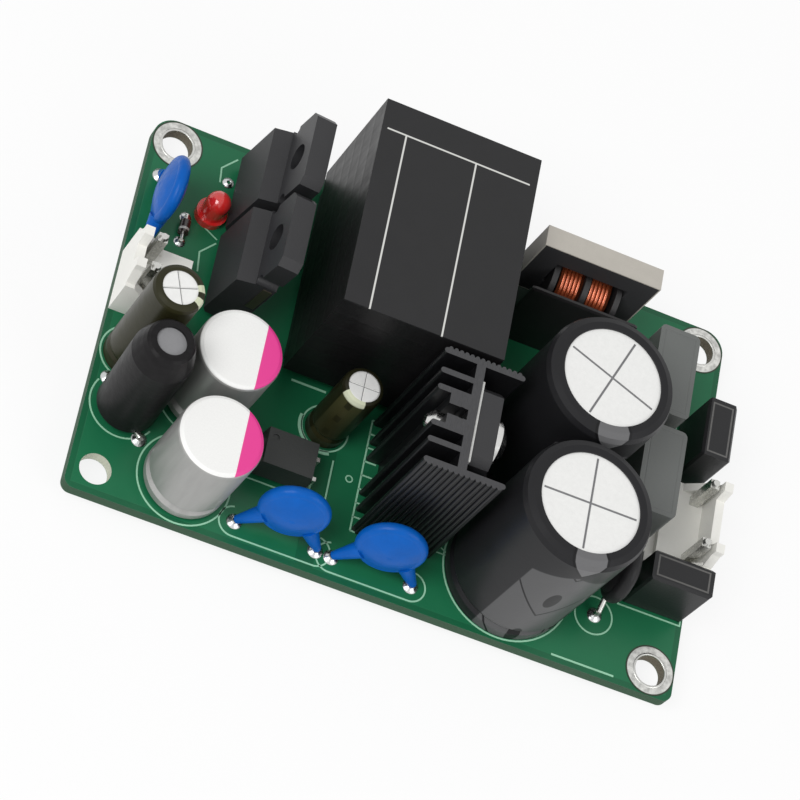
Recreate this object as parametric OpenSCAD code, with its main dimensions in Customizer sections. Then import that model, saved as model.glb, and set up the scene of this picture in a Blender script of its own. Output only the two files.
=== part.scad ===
// Open frame switching power supply on a 3 x 2 inch board.
// Origin: centre of the mounting hole pattern, on the underside of the board.
// +X runs to the mains input edge, +Y across the board, +Z up through the parts.

/* [Board] */
// board length
board_l = 76.2; // [60:0.1:90]
// board width
board_w = 50.8; // [40:0.1:60]
// board thickness
board_t = 1.6; // [0.8:0.1:2.4]
// radius of the two front corners
front_corner_r = 1.2; // [0.5:0.1:3]
// radius of the two rear corners
rear_corner_r = 2.8; // [0.5:0.1:4]
// mounting hole diameter
hole_d = 3.8; // [3:0.1:4.5]
// distance of a mounting hole centre from the two nearest edges
hole_edge = 3.175; // [2.5:0.025:5]
// plated land diameter round a mounting hole
land_d = 6.3; // [5:0.1:6.3]
// thickness of a plated land
land_t = 0.05; // [0.03:0.01:0.1]
// bare ring between a land and its hole
land_gap = 0.3; // [0.2:0.05:0.5]

/* [Leads and solder] */
// diameter of a wire lead
lead_d = 0.7; // [0.5:0.05:1]
// drilled hole for a wire lead
drill_d = 1.0; // [0.8:0.05:1.3]
// drilled hole for a header post
post_drill_d = 1.75; // [1.6:0.05:2]
// solder joint diameter at the board
joint_d = 1.9; // [1.5:0.1:2.5]
// solder joint diameter round a header post
post_joint_d = 3.0; // [2.4:0.1:3.4]
// height of the solder cone
joint_h = 1.0; // [0.5:0.1:1.5]
// length of a trimmed lead below the board
tip_l = 1.8; // [1.2:0.1:2.5]

/* [Transformer] */
// position of the transformer along the board
tr_x = -7.0; // [-40:0.1:40]
// clearance between the heatsink and the transformer wrap
tr_gap = 1.2; // [0.5:0.1:3]
// core length across the board
tr_l = 27.0; // [20:0.1:30]
// core width along the board
tr_w = 19.2; // [15:0.1:25]
// height of the top of the core above the board
tr_top = 20.1; // [15:0.1:25]
// height of the bottom of the core above the board
tr_base = 1.8; // [1:0.1:3]
// thickness of the core plates
tr_plate = 4.2; // [3:0.1:6]
// thickness of the outer core legs
tr_leg = 3.6; // [2:0.1:5]
// diameter of the centre leg
tr_post_d = 12.0; // [8:0.1:14]
// wall of the bobbin barrel and its flanges
tr_wall = 0.8; // [0.5:0.1:1.2]
// outer diameter of the winding
tr_wound_d = 17.8; // [14:0.1:18]
// thickness of the black wrap
tr_wrap = 0.3; // [0.1:0.05:0.6]
// thickness of the label on top
tr_label_t = 0.15; // [0.05:0.05:0.3]
// spacing of the pins in a row
tr_pitch = 3.8; // [2.5:0.1:5]
// distance between the two pin rows
tr_rows = 16.0; // [12:0.1:20]

/* [Choke] */
// centre of the choke
ch_at = [14.6, 19.05]; // [-40:0.05:40]
// core ring length
ch_l = 14.9; // [10:0.1:20]
// core ring height
ch_h = 9.8; // [8:0.1:12]
// core leg width and thickness
ch_leg = 2.8; // [2:0.1:4]
// height of the top of the core above the board
ch_top = 15.4; // [12:0.1:18]
// thickness of the band round the core
ch_band_t = 0.15; // [0.1:0.05:0.3]
// width of the bobbin flanges
ch_flange = 9.5; // [8:0.1:14]
// thickness of the bobbin flanges
ch_flange_t = 0.7; // [0.4:0.1:1.2]
// outer diameter of the two windings
ch_wound_d = 9.0; // [7:0.1:11]
// bobbin barrel outside size
ch_barrel = 4.4; // [4:0.1:6]
// height of the bobbin foot
ch_foot_h = 1.6; // [1:0.1:3]
// pin spacing along the choke
ch_pin_x = 8.0; // [5:0.1:12]
// pin spacing across the choke
ch_pin_y = 8.0; // [5:0.1:12]

/* [Mains capacitors] */
// centre of the rear bulk capacitor
bulk_1_at = [15.5, -0.4]; // [-40:0.05:40]
// centre of the front bulk capacitor
bulk_2_at = [15.4, -16.85]; // [-40:0.05:40]
// bulk capacitor diameter
bulk_d = 15.9; // [10:0.1:18]
// bulk capacitor height
bulk_h = 22.05; // [15:0.05:30]
// bulk capacitor lead spacing
bulk_pitch = 7.5; // [5:0.5:10]
// diameter of the bare disc on top
bulk_open_d = 12.2; // [8:0.1:14]
// turn of the vent cross on the rear capacitor
bulk_1_turn = 69; // [0:1:90]
// sleeve thickness on the bulk capacitors
bulk_sleeve = 0.2; // [0.1:0.05:0.4]
// centre of the rear film capacitor
film_1_at = [27.35, 10.4]; // [-40:0.05:40]
// centre of the front film capacitor
film_2_at = [27.6, -2.95]; // [-40:0.05:40]
// film capacitor thickness
film_t = 5.2; // [3:0.1:8]
// film capacitor length
film_l = 11.6; // [8:0.1:14]
// film capacitor height
film_h = 11.5; // [8:0.1:14]
// film capacitor lead spacing
film_pitch = 7.5; // [5:0.5:10]
// film capacitor corner radius
film_r = 0.7; // [0.2:0.1:1.5]

/* [Output capacitors] */
// centre of the rear polymer capacitor
poly_1_at = [-24.9, -8.4]; // [-40:0.05:40]
// centre of the front polymer capacitor
poly_2_at = [-24.8, -19.65]; // [-40:0.05:40]
// polymer capacitor diameter
poly_d = 10.0; // [8:0.1:12]
// polymer capacitor height
poly_h = 12.4; // [8:0.1:16]
// polymer capacitor lead spacing
poly_pitch = 5.0; // [3.5:0.5:7.5]
// centre of the tall output capacitor
tall_at = [-34.5, -6.8]; // [-40:0.05:40]
// tall output capacitor diameter
tall_d = 6.1; // [5:0.1:8]
// tall output capacitor height
tall_h = 17.3; // [10:0.1:20]
// tall output capacitor bare disc
tall_open_d = 4.2; // [3:0.1:5]
// centre of the supply capacitor
aux_at = [-9.9, -7.0]; // [-40:0.05:40]
// supply capacitor diameter
aux_d = 5.0; // [4:0.1:6.3]
// supply capacitor height
aux_h = 11.9; // [8:0.1:14]
// supply capacitor bare disc
aux_open_d = 3.9; // [3:0.1:4.5]
// lead spacing of the small capacitors
small_pitch = 2.5; // [2:0.5:3.5]
// direction of the leads of the supply capacitor
aux_turn = 45; // [0:5:180]
// sleeve thickness on the small capacitors
small_sleeve = 0.12; // [0.08:0.02:0.3]
// depth of the vent cross
vent_depth = 0.12; // [0.05:0.01:0.3]
// width of the vent cross
vent_w = 0.22; // [0.1:0.02:0.5]

/* [Output inductor] */
// centre of the inductor
ind_at = [-33.5, -13.75]; // [-40:0.05:40]
// sleeve diameter
ind_d = 7.3; // [5:0.1:9]
// height of the sleeve above the board
ind_top = 17.2; // [8:0.1:20]
// height of the sleeve's lower end
ind_base = 0.9; // [0.9:0.1:2]
// diameter of the core end seen in the sleeve
ind_core_d = 3.5; // [2:0.1:5]
// sleeve diameter at its shrunk mouth
ind_mouth_d = 5.4; // [4:0.1:7]
// distance from the centre to each lead
ind_lead_r = 4.0; // [2:0.1:5]
// direction of the leads
ind_turn = -50; // [-90:1:90]
// how far the inductor leans towards +Y and -X, in degrees
ind_lean = [1.0, 1.6]; // [0:0.1:4]
// height of the inductor wires over the board
ind_wire_z = 0.4; // [0.35:0.05:1]
// distance from the centre where a wire goes up into the sleeve
ind_root = 1.5; // [1:0.1:3]
// gap between the bent leads and the leaning base
ind_root_gap = 0.1; // [0.06:0.01:0.2]

/* [Power packages] */
// centre of the rear rectifier, at its back face
rect_1_at = [-22.8, 17.7]; // [-40:0.05:40]
// centre of the front rectifier, at its back face
rect_2_at = [-23.1, 6.4]; // [-40:0.05:40]
// height of the top of a rectifier above the board
rect_top = 16.7; // [14:0.1:24]
// how far the rectifiers lean towards the transformer, in degrees
rect_lean = 6.5; // [0:0.5:10]
// package width
pk_w = 10.0; // [8:0.1:12]
// package height without leads
pk_h = 15.9; // [12:0.1:18]
// package thickness
pk_t = 4.7; // [3:0.1:6]
// package tab thickness
pk_tab_t = 2.6; // [2:0.1:4]
// height of the thick part
pk_ledge = 9.3; // [7:0.1:11]
// hole in the tab
pk_hole_d = 3.2; // [3:0.1:3.8]
// distance of the hole from the top
pk_hole_down = 3.3; // [2:0.1:5]
// lead spacing
pk_pitch = 2.54; // [2.5:0.01:5.1]
// lead width
pk_lead_w = 0.7; // [0.5:0.05:0.9]
// lead thickness
pk_lead_t = 0.5; // [0.3:0.05:0.7]
// distance of the leads from the back face
pk_lead_in = 2.6; // [2:0.1:3]
// cut on each top corner of the tab
pk_corner = 0.9; // [0:0.1:2]
// radius of the notch in each side
pk_notch_r = 0.75; // [0.3:0.05:1.5]
// height of the metal strip seen in each side
pk_strip_h = 4.6; // [2:0.1:6]
// width of the metal strip seen in each side
pk_strip_w = 1.1; // [0.5:0.1:2]

/* [Heatsink] */
// centre of the heatsink spine
hs_at = [0.3, -11.0]; // [-40:0.05:40]
// heatsink length across the board
hs_l = 14.8; // [10:0.1:20]
// heatsink height
hs_h = 20.5; // [15:0.1:25]
// spine thickness
hs_spine = 1.1; // [0.8:0.1:2]
// fin thickness
hs_fin = 0.7; // [0.4:0.05:1]
// reach of the fins from the spine centre
hs_reach = 4.6; // [3:0.1:6]
// reach of the two end arms past the switch
hs_arm = 5.4; // [3:0.1:7]
// reach of the screw jaws from the spine centre
hs_jaw = 2.9; // [2:0.1:4]
// thickness of each screw jaw
hs_jaw_t = 1.8; // [1:0.1:3]
// width of the slot between the jaws
hs_slot = 1.3; // [0.8:0.1:2]
// depth of the ribs on the end arms
hs_rib = 0.25; // [0.1:0.05:0.5]
// number of ribs on an end arm
hs_ribs = 14; // [6:1:20]
// height of the top of the switch above the board
sw_top = 19.8; // [15:0.1:24]
// thickness of the thermal pad
pad_t = 0.45; // [0.2:0.05:1]
// screw thread diameter
screw_d = 2.9; // [2:0.1:4]
// screw length under the head
screw_l = 7.6; // [5:0.1:12]
// screw head diameter
screw_head_d = 5.4; // [4:0.1:6]
// screw head height
screw_head_h = 1.8; // [1:0.1:2.5]
// radial clearance round the screw
screw_gap = 0.05; // [0.02:0.01:0.2]

/* [Safety capacitors and thermistor] */
// middle of the front left disc capacitor
yc_1_at = [-13.0, -22.5]; // [-40:0.05:40]
// middle of the front right disc capacitor
yc_2_at = [-1.0, -22.6]; // [-40:0.05:40]
// middle of the rear disc capacitor
yc_3_at = [-36.05, 12.3]; // [-40:0.05:40]
// disc capacitor diameter
yc_d = 8.4; // [6:0.1:10]
// disc capacitor thickness
yc_t = 3.0; // [2:0.1:4]
// height of a disc centre above the board
yc_z = 5.7; // [4:0.1:8]
// disc capacitor lead spacing
yc_pitch = 10.0; // [5:0.5:10]
// height of the lower end of the coating on the legs
yc_stand = 0.6; // [0.2:0.1:1.5]
// lean of the two front discs towards the heatsink, in degrees
yc_lean = 9; // [0:1:15]
// lean of the third disc away from the board edge, in degrees
yc_3_lean = 4; // [0:1:10]
// radius of a coated leg at the disc
yc_leg_r = 1.1; // [0.6:0.1:1.5]
// radius of a coated leg at the board
yc_foot_r = 0.5; // [0.4:0.05:0.8]
// centre of the thermistor
ntc_at = [26.9, -14.1]; // [-40:0.05:40]
// thermistor diameter
ntc_d = 8.5; // [5:0.1:10]
// thermistor thickness
ntc_t = 3.8; // [2:0.1:5]
// height of the thermistor centre
ntc_z = 6.0; // [4:0.1:9]
// thermistor lead spacing
ntc_pitch = 7.5; // [5:0.5:7.5]
// height where a thermistor lead turns inwards
ntc_knee_z = 1.2; // [0.5:0.1:2]
// height where a thermistor lead meets the coating
ntc_root_z = 3.2; // [2:0.1:4]
// half the lead spacing at the coating
ntc_root_x = 1.6; // [1:0.1:2.5]

/* [Connectors and fuses] */
// pin row centre of the output header
out_at = [-35.8, 1.85]; // [-40:0.05:40]
// pin row centre of the mains header
in_at = [35.8, -4.55]; // [-40:0.05:40]
// header pin spacing
hd_pitch = 3.96; // [2.5:0.01:5.08]
// body past the last pin
hd_end = 1.97; // [1:0.01:3]
// header depth in front of the pins
hd_front = 5.3; // [3:0.1:7]
// header depth behind the pins
hd_back = 2.3; // [1.5:0.1:3]
// height of the header floor
hd_floor = 3.3; // [2:0.1:5]
// height of the lock wall
hd_wall_h = 9.0; // [6:0.1:12]
// thickness of the lock wall
hd_wall = 1.1; // [0.8:0.1:2]
// side of a header post
hd_post = 1.14; // [0.8:0.02:1.3]
// height of the header posts
hd_post_h = 9.2; // [6:0.1:12]
// centre of the rear fuse
fuse_1_at = [35.75, 7.3]; // [-40:0.05:40]
// centre of the front fuse
fuse_2_at = [33.9, -13.05]; // [-40:0.05:40]
// fuse length
fuse_l = 7.9; // [6:0.1:9]
// fuse thickness
fuse_w = 3.8; // [3:0.1:5]
// fuse height
fuse_h = 8.0; // [6:0.1:9]
// fuse lead spacing
fuse_pitch = 5.08; // [5:0.01:5.1]
// bevel on the fuse and package edges
bevel = 0.3; // [0.1:0.05:0.8]

/* [Small parts] */
// centre of the optocoupler
oc_at = [-14.4, -14.0]; // [-40:0.05:40]
// optocoupler body length
oc_l = 6.5; // [5:0.1:8]
// optocoupler body width
oc_w = 4.6; // [4:0.1:6]
// height of the underside of the optocoupler
oc_base = 0.8; // [0.2:0.1:1.5]
// height of the top of the optocoupler
oc_top = 4.3; // [3:0.1:5]
// distance between the lead rows
oc_rows = 7.62; // [7.6:0.01:10.2]
// lead width
oc_lead_w = 0.5; // [0.4:0.05:0.7]
// lead thickness
oc_lead_t = 0.25; // [0.2:0.05:0.4]
// centre of the lamp
led_at = [-29.2, 14.6]; // [-40:0.05:40]
// lamp diameter
led_d = 3.0; // [2.5:0.1:5]
// lamp flange diameter
led_flange_d = 3.8; // [3:0.1:6]
// lamp height
led_h = 4.6; // [4:0.1:6]
// centre of the small diode
diode_at = [-31.9, 11.4]; // [-40:0.05:40]
// small diode body diameter
diode_d = 1.3; // [1:0.1:2]
// small diode body length
diode_l = 1.7; // [1.2:0.1:3]
// small diode lead spacing
diode_pitch = 3.4; // [3:0.1:6]
// radius where the wire of the small diode turns down
diode_bend = 0.5; // [0.3:0.1:1]

/* [Underside] */
// centre of the bridge rectifier
bridge_at = [19.5, 9.0]; // [-40:0.1:40]
// bridge rectifier length
bridge_l = 6.4; // [4:0.1:9]
// bridge rectifier width
bridge_w = 5.0; // [4:0.1:7]
// bridge rectifier height
bridge_h = 1.5; // [1:0.1:2]
// centre of the controller
ctrl_at = [-7.0, 6.0]; // [-40:0.1:40]
// controller length
ctrl_l = 4.9; // [4:0.1:10]
// controller width
ctrl_w = 3.9; // [3:0.1:5]
// controller height
ctrl_h = 1.5; // [1:0.1:2]
// chip part length
chip_l = 2.0; // [1:0.1:3.2]
// chip part width
chip_w = 1.25; // [0.5:0.05:1.6]
// chip resistor height
chip_h = 0.55; // [0.3:0.05:0.8]
// chip capacitor height
chip_cap_h = 1.0; // [0.5:0.05:1.3]
// spacing of the chip parts
chip_step = 3.2; // [2:0.1:5]

/* [Hidden] */
$fn = 64;
hole_dx = board_l - 2 * hole_edge;
hole_dy = board_w - 2 * hole_edge;
tr_at = [tr_x, hs_at[1] + hs_l / 2 + tr_gap + tr_wrap + tr_l / 2];
bulk_shoulder = 1.0;
small_shoulder = 0.6;
groove_z = 2.0;
groove_w = 0.6;
rect_z = rect_top - pk_h * cos(rect_lean) - pk_tab_t * sin(rect_lean);
sw_z = sw_top - pk_h;
sw_x = hs_at[0] + hs_spine / 2 + pad_t;
screw_z = sw_top - pk_hole_down;
screw_x = sw_x + pk_tab_t;
ch_axis_z = ch_top - ch_h + ch_leg / 2;
ch_base_z = ch_top - ch_h;
tr_z0 = tr_base + tr_plate;
tr_z1 = tr_top - tr_plate;
chips_1_at = [-10.5, 12];
chips_2_at = [-10.5, 17];
chips_3_at = [5, 8];

// ---------- helpers ----------

// lifts a part onto the upper face of the board
module on_board(at, z = 0) {
  translate([at[0], at[1], board_t + z])
    children();
}

// hangs a part from the underside of the board
module under_board(at) {
  translate([at[0], at[1], 0])
    mirror([0, 0, 1])
      children();
}

// a row of equal children along X, centred
module row(n, pitch) {
  for (i = [0 : n - 1])
    translate([(i - (n - 1) / 2) * pitch, 0, 0])
      children();
}

// a rectangle with round corners
module rounded(l, w, r) {
  square([l - 2 * r, w], center = true);
  square([l, w - 2 * r], center = true);
  for (x = [-1, 1], y = [-1, 1])
    translate([x * (l / 2 - r), y * (w / 2 - r)])
      circle(r);
}

// a rectangle with cut corners
module bevelled(l, w, c) {
  polygon([
    [-l / 2 + c, -w / 2], [l / 2 - c, -w / 2], [l / 2, -w / 2 + c], [l / 2, w / 2 - c],
    [l / 2 - c, w / 2], [-l / 2 + c, w / 2], [-l / 2, w / 2 - c], [-l / 2, -w / 2 + c]
  ]);
}

// a box with cut edges on top, bottom and two sides
module bevelled_box(l, w, h, c) {
  intersection() {
    linear_extrude(h)
      bevelled(l, w, c);
    translate([-l / 2, 0, h / 2])
      rotate([90, 0, 90])
        linear_extrude(l)
          bevelled(w, h, c);
  }
}

// a round bar from point a to point b
module strut(a, b, r1, r2) {
  d = b - a;
  len = norm(d);
  translate(a)
    rotate([0, acos(d[2] / len), atan2(d[1], d[0])])
      cylinder(h = len, r1 = r1, r2 = r2);
}

// a capacitor can: groove near the seal, sloped shoulder on top
module can_body(r, h, c, gz, gd) {
  rotate_extrude()
    polygon([
      [0, 0], [r, 0], [r, gz - groove_w], [r - gd, gz], [r, gz + groove_w],
      [r, h - c], [r - 0.3 * c, h - 0.3 * c], [r - c, h], [0, h]
    ]);
}

// the scored cross on a vent
module vent_cross(d) {
  for (a = [0, 90])
    rotate(a)
      cube([d, vent_w, 2 * vent_depth], center = true);
}

// ---------- board ----------

// every place where a thin lead goes through the board
module lead_sites() {
  translate(tr_at)
    for (s = [-1, 1])
      translate([s * tr_rows / 2, 0])
        rotate(90)
          row(6, tr_pitch)
            children();
  translate(ch_at)
    for (x = [-1, 1], y = [-1, 1])
      translate([x * ch_pin_x / 2, y * ch_pin_y / 2])
        children();
  for (p = [rect_1_at, rect_2_at])
    translate([p[0] - pk_lead_in, p[1]])
      rotate(90)
        row(3, pk_pitch)
          children();
  translate([sw_x + pk_lead_in, hs_at[1]])
    rotate(90)
      row(3, pk_pitch)
        children();
  translate(oc_at)
    for (x = [-1, 1], y = [-1, 1])
      translate([x * oc_rows / 2, y * pk_pitch / 2])
        children();
  wire_sites()
    children();
}

// every place where a round wire lead goes through the board
module wire_sites() {
  for (p = [bulk_1_at, bulk_2_at])
    translate(p)
      rotate(90)
        row(2, bulk_pitch)
          children();
  for (p = [film_1_at, film_2_at])
    translate(p)
      rotate(90)
        row(2, film_pitch)
          children();
  for (p = [poly_1_at, poly_2_at])
    translate(p)
      row(2, poly_pitch)
        children();
  translate(tall_at)
    row(2, small_pitch)
      children();
  translate(aux_at)
    rotate(aux_turn)
      row(2, small_pitch)
        children();
  translate(fuse_1_at)
    rotate(90)
      row(2, fuse_pitch)
        children();
  translate(fuse_2_at)
    row(2, fuse_pitch)
      children();
  translate(led_at)
    rotate(90)
      row(2, pk_pitch)
        children();
  bare_sites()
    children();
}

// round wire leads that rise above the board before they meet their part
module bare_sites() {
  translate(ind_at)
    rotate(ind_turn)
      row(2, 2 * ind_lead_r)
        children();
  for (p = [yc_1_at, yc_2_at])
    translate(p)
      row(2, yc_pitch)
        children();
  translate(yc_3_at)
    rotate(90)
      row(2, yc_pitch)
        children();
  translate(ntc_at)
    rotate(90)
      row(2, ntc_pitch)
        children();
  translate(diode_at)
    rotate(90)
      row(2, diode_pitch)
        children();
}

// every place where a header post goes through the board
module post_sites() {
  translate(out_at)
    rotate(90)
      row(2, hd_pitch)
        children();
  translate(in_at)
    rotate(90)
      row(2, 2 * hd_pitch)
        children();
}

module hole_sites() {
  for (x = [-1, 1], y = [-1, 1])
    translate([x * hole_dx / 2, y * hole_dy / 2])
      children();
}

module pcb() {
  color([0.14, 0.42, 0.29])
    difference() {
      linear_extrude(board_t)
        rounded(board_l, board_w, front_corner_r);
      for (s = [-1, 1])
        translate([s * (board_l / 2 - rear_corner_r), board_w / 2 - rear_corner_r, -1])
          linear_extrude(board_t + 2)
            difference() {
              translate([s > 0 ? 0 : -2 * rear_corner_r, 0])
                square(2 * rear_corner_r);
              circle(rear_corner_r);
            }
      hole_sites()
        translate([0, 0, -1])
          cylinder(h = board_t + 2, d = hole_d);
      lead_sites()
        translate([0, 0, -1])
          cylinder(h = board_t + 2, d = drill_d);
      post_sites()
        translate([0, 0, -1])
          cylinder(h = board_t + 2, d = post_drill_d);
    }
}

// three of the four holes have a plated land, on both faces
module mounting_lands() {
  color([0.8, 0.8, 0.78])
    for (p = [[-1, 1], [1, 1], [1, -1]], z = [-land_t, board_t])
      translate([p[0] * hole_dx / 2, p[1] * hole_dy / 2, z])
        difference() {
          cylinder(h = land_t, d = land_d);
          translate([0, 0, -land_t])
            cylinder(h = 3 * land_t, d = hole_d + 2 * land_gap);
        }
}

// sloping part of a thermistor lead
module ntc_lead(s) {
  strut([s * ntc_pitch / 2, 0, ntc_knee_z], [s * ntc_root_x, 0, ntc_root_z], lead_d / 2, lead_d / 2);
}

// solder cone and trimmed lead below the board
module joint(d, tip) {
  mirror([0, 0, 1]) {
    cylinder(h = joint_h, d1 = d, d2 = tip + 0.3);
    cylinder(h = tip_l, d = tip);
  }
}

module solder_joints() {
  color([0.75, 0.75, 0.75])
    lead_sites()
      joint(joint_d, lead_d);
}

module post_joints() {
  color([0.75, 0.75, 0.75])
    post_sites()
      joint(post_joint_d, hd_post);
}

// round wires: inside the board, and up to the parts that stand off it
module wire_leads() {
  color([0.8, 0.8, 0.8]) {
    wire_sites()
      cylinder(h = board_t, d = lead_d);
    for (p = [yc_1_at, yc_2_at, yc_3_at])
      on_board(p)
        rotate(p == yc_3_at ? 90 : 0)
          row(2, yc_pitch)
            cylinder(h = yc_stand, d = lead_d);
    on_board(ntc_at)
      rotate(90)
        for (s = [-1, 1])
          union() {
            translate([s * ntc_pitch / 2, 0, 0])
              cylinder(h = ntc_knee_z, d = lead_d);
            ntc_lead(s);
          }
    on_board(ind_at)
      rotate(ind_turn)
        for (s = [-1, 1])
          union() {
            translate([s * ind_lead_r, 0, 0])
              cylinder(h = ind_wire_z, d = lead_d);
            strut([s * ind_lead_r, 0, ind_wire_z], [s * ind_root, 0, ind_wire_z], lead_d / 2, lead_d / 2);
            translate([s * ind_root, 0, ind_wire_z])
              cylinder(h = ind_base - ind_root_gap - ind_wire_z, d = lead_d);
          }
    on_board(diode_at)
      rotate(90)
        for (s = [-1, 1])
          union() {
            translate([s * diode_pitch / 2, 0, 0])
              cylinder(h = diode_d / 2, d = lead_d - 0.2);
            strut([s * diode_pitch / 2, 0, diode_d / 2], [s * diode_l / 2, 0, diode_d / 2],
                  lead_d / 2 - 0.1, lead_d / 2 - 0.1);
          }
  }
}

// ---------- transformer ----------

module tr_plate_shape() {
  difference() {
    square([tr_w, tr_l], center = true);
    for (s = [-1, 1])
      translate([s * tr_w / 2, 0])
        square([2 * tr_wall + 0.6, tr_l * 0.4], center = true);
  }
}

// two core halves meeting at mid height
module transformer_core() {
  mid = (tr_base + tr_top) / 2;
  color([0.2, 0.2, 0.21])
    on_board(tr_at)
      for (s = [0, 1])
        translate([0, 0, s * 2 * mid])
          mirror([0, 0, s])
            union() {
              translate([0, 0, tr_base])
                linear_extrude(tr_plate)
                  tr_plate_shape();
              translate([0, 0, tr_z0])
                cylinder(h = mid - tr_z0, d = tr_post_d - 2 * tr_wall - 0.4);
              for (y = [-1, 1])
                translate([-tr_w / 2, y * (tr_l - tr_leg) / 2 - tr_leg / 2, tr_z0])
                  cube([tr_w, tr_leg, mid - tr_z0]);
            }
}

module transformer_bobbin() {
  color([0.1, 0.1, 0.1])
    on_board(tr_at)
      difference() {
        union() {
          translate([0, 0, tr_z0])
            cylinder(h = tr_z1 - tr_z0, d = tr_post_d);
          for (z = [tr_z0, tr_z1 - tr_wall])
            translate([0, 0, z])
              cylinder(h = tr_wall, d = tr_w - 0.4);
          for (s = [-1, 1]) {
            translate([s * (tr_w / 2 - tr_wall / 2) - tr_wall / 2, -tr_l * 0.15, 1])
              cube([tr_wall, tr_l * 0.3, tr_z0 + tr_wall - 1]);
            translate([s * (tr_w / 2 - 1.5) - 1.5, -tr_l / 2 + 2, 0])
              cube([3, tr_l - 4, tr_base]);
          }
        }
        translate([0, 0, tr_z0 - 1])
          cylinder(h = tr_z1 - tr_z0 + 2, d = tr_post_d - 2 * tr_wall);
      }
}

module transformer_winding() {
  color([0.72, 0.4, 0.2])
    on_board(tr_at, tr_z0 + tr_wall)
      difference() {
        cylinder(h = tr_z1 - tr_z0 - 2 * tr_wall, d = tr_wound_d);
        translate([0, 0, -1])
          cylinder(h = tr_z1 - tr_z0 + 2, d = tr_post_d);
      }
}

module transformer_wrap() {
  color([0.12, 0.12, 0.12])
    on_board(tr_at, tr_base)
      linear_extrude(tr_top - tr_base)
        difference() {
          square([tr_w + 2 * tr_wrap, tr_l + 2 * tr_wrap], center = true);
          square([tr_w, tr_l], center = true);
        }
}

module transformer_label() {
  color([0.3, 0.3, 0.3])
    on_board(tr_at, tr_top)
      linear_extrude(tr_label_t)
        square([tr_w + 2 * tr_wrap, tr_l + 2 * tr_wrap], center = true);
}

module transformer_pins() {
  color([0.8, 0.8, 0.8])
    translate(tr_at)
      for (s = [-1, 1])
        translate([s * tr_rows / 2, 0])
          rotate(90)
            row(6, tr_pitch)
              cylinder(h = board_t, d = lead_d);
}

// ---------- choke ----------

// two U halves that meet in the middle of the long sides
module choke_core() {
  color([0.2, 0.2, 0.2])
    on_board(ch_at, ch_base_z)
      for (s = [-1, 1])
        rotate([90, 0, 0])
          translate([0, 0, -ch_leg / 2])
            linear_extrude(ch_leg)
              difference() {
                translate([s > 0 ? 0 : -ch_l / 2, 0])
                  square([ch_l / 2, ch_h]);
                translate([-ch_l / 2 + ch_leg, ch_leg])
                  square([ch_l - 2 * ch_leg, ch_h - 2 * ch_leg]);
              }
}

module choke_band() {
  color([0.76, 0.74, 0.71])
    on_board(ch_at, ch_base_z)
      rotate([90, 0, 0])
        translate([0, 0, -ch_leg / 2])
          linear_extrude(ch_leg)
            difference() {
              translate([-ch_l / 2 - ch_band_t, -ch_band_t])
                square([ch_l + 2 * ch_band_t, ch_h + 2 * ch_band_t]);
              translate([-ch_l / 2, 0])
                square([ch_l, ch_h]);
            }
}

module choke_bobbin() {
  inner = ch_l - 2 * ch_leg - 0.4;
  low = ch_axis_z - ch_wound_d / 2 - 0.3;
  color([0.13, 0.13, 0.13])
    on_board(ch_at)
      difference() {
        union() {
          translate([-inner / 2, -ch_barrel / 2, ch_axis_z - ch_barrel / 2])
            cube([inner, ch_barrel, ch_barrel]);
          for (x = [-inner / 2, -ch_flange_t / 2, inner / 2 - ch_flange_t])
            translate([x, 0, ch_axis_z]) {
              rotate([0, 90, 0])
                cylinder(h = ch_flange_t, d = ch_flange);
              translate([0, -ch_flange / 2, ch_foot_h - ch_axis_z])
                cube([ch_flange_t, ch_flange, ch_axis_z - ch_foot_h]);
            }
          translate([-inner / 2, -ch_flange / 2, 0])
            cube([inner, ch_flange, ch_foot_h]);
        }
        translate([-ch_l, -ch_leg / 2 - 0.1, ch_base_z - 0.2])
          cube([2 * ch_l, ch_leg + 0.2, ch_leg + 0.3]);
      }
}

module choke_windings() {
  inner = ch_l - 2 * ch_leg - 0.4;
  span = (inner - 3 * ch_flange_t) / 2;
  color([0.7, 0.38, 0.22])
    on_board(ch_at, ch_axis_z)
      for (s = [-1, 1])
        translate([s * (ch_flange_t / 2 + span / 2) - span / 2, 0, 0])
          difference() {
            rotate([0, 90, 0])
              cylinder(h = span, d = ch_wound_d);
            translate([-1, -ch_barrel / 2, -ch_barrel / 2])
              cube([span + 2, ch_barrel, ch_barrel]);
          }
}

module choke_pins() {
  color([0.8, 0.8, 0.8])
    translate(ch_at)
      for (x = [-1, 1], y = [-1, 1])
        translate([x * ch_pin_x / 2, y * ch_pin_y / 2])
          cylinder(h = board_t, d = lead_d);
}

// ---------- capacitors ----------

// aluminium can inside its printed sleeve, with a scored vent on top
module cored_can(at, d, h, w, c, turn) {
  color([0.88, 0.88, 0.88])
    on_board(at)
      difference() {
        can_body(d / 2 - w, h - w, c, groove_z, c * 0.3);
        translate([0, 0, h - w])
          rotate(turn)
            vent_cross(d * 0.72);
      }
}

module cap_sleeve(at, d, h, w, c, open_d) {
  on_board(at)
    difference() {
      can_body(d / 2, h, c, groove_z, c * 0.3);
      can_body(d / 2 - w, h - w, c, groove_z, c * 0.3);
      translate([0, 0, h - 3 * w])
        cylinder(h = 6 * w, d = open_d);
    }
}

module bulk_can_1() {
  cored_can(bulk_1_at, bulk_d, bulk_h, bulk_sleeve, bulk_shoulder, bulk_1_turn);
}

module bulk_can_2() {
  cored_can(bulk_2_at, bulk_d, bulk_h, bulk_sleeve, bulk_shoulder, 0);
}

module bulk_sleeve_1() {
  color([0.2, 0.2, 0.21])
    cap_sleeve(bulk_1_at, bulk_d, bulk_h, bulk_sleeve, bulk_shoulder, bulk_open_d);
}

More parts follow.
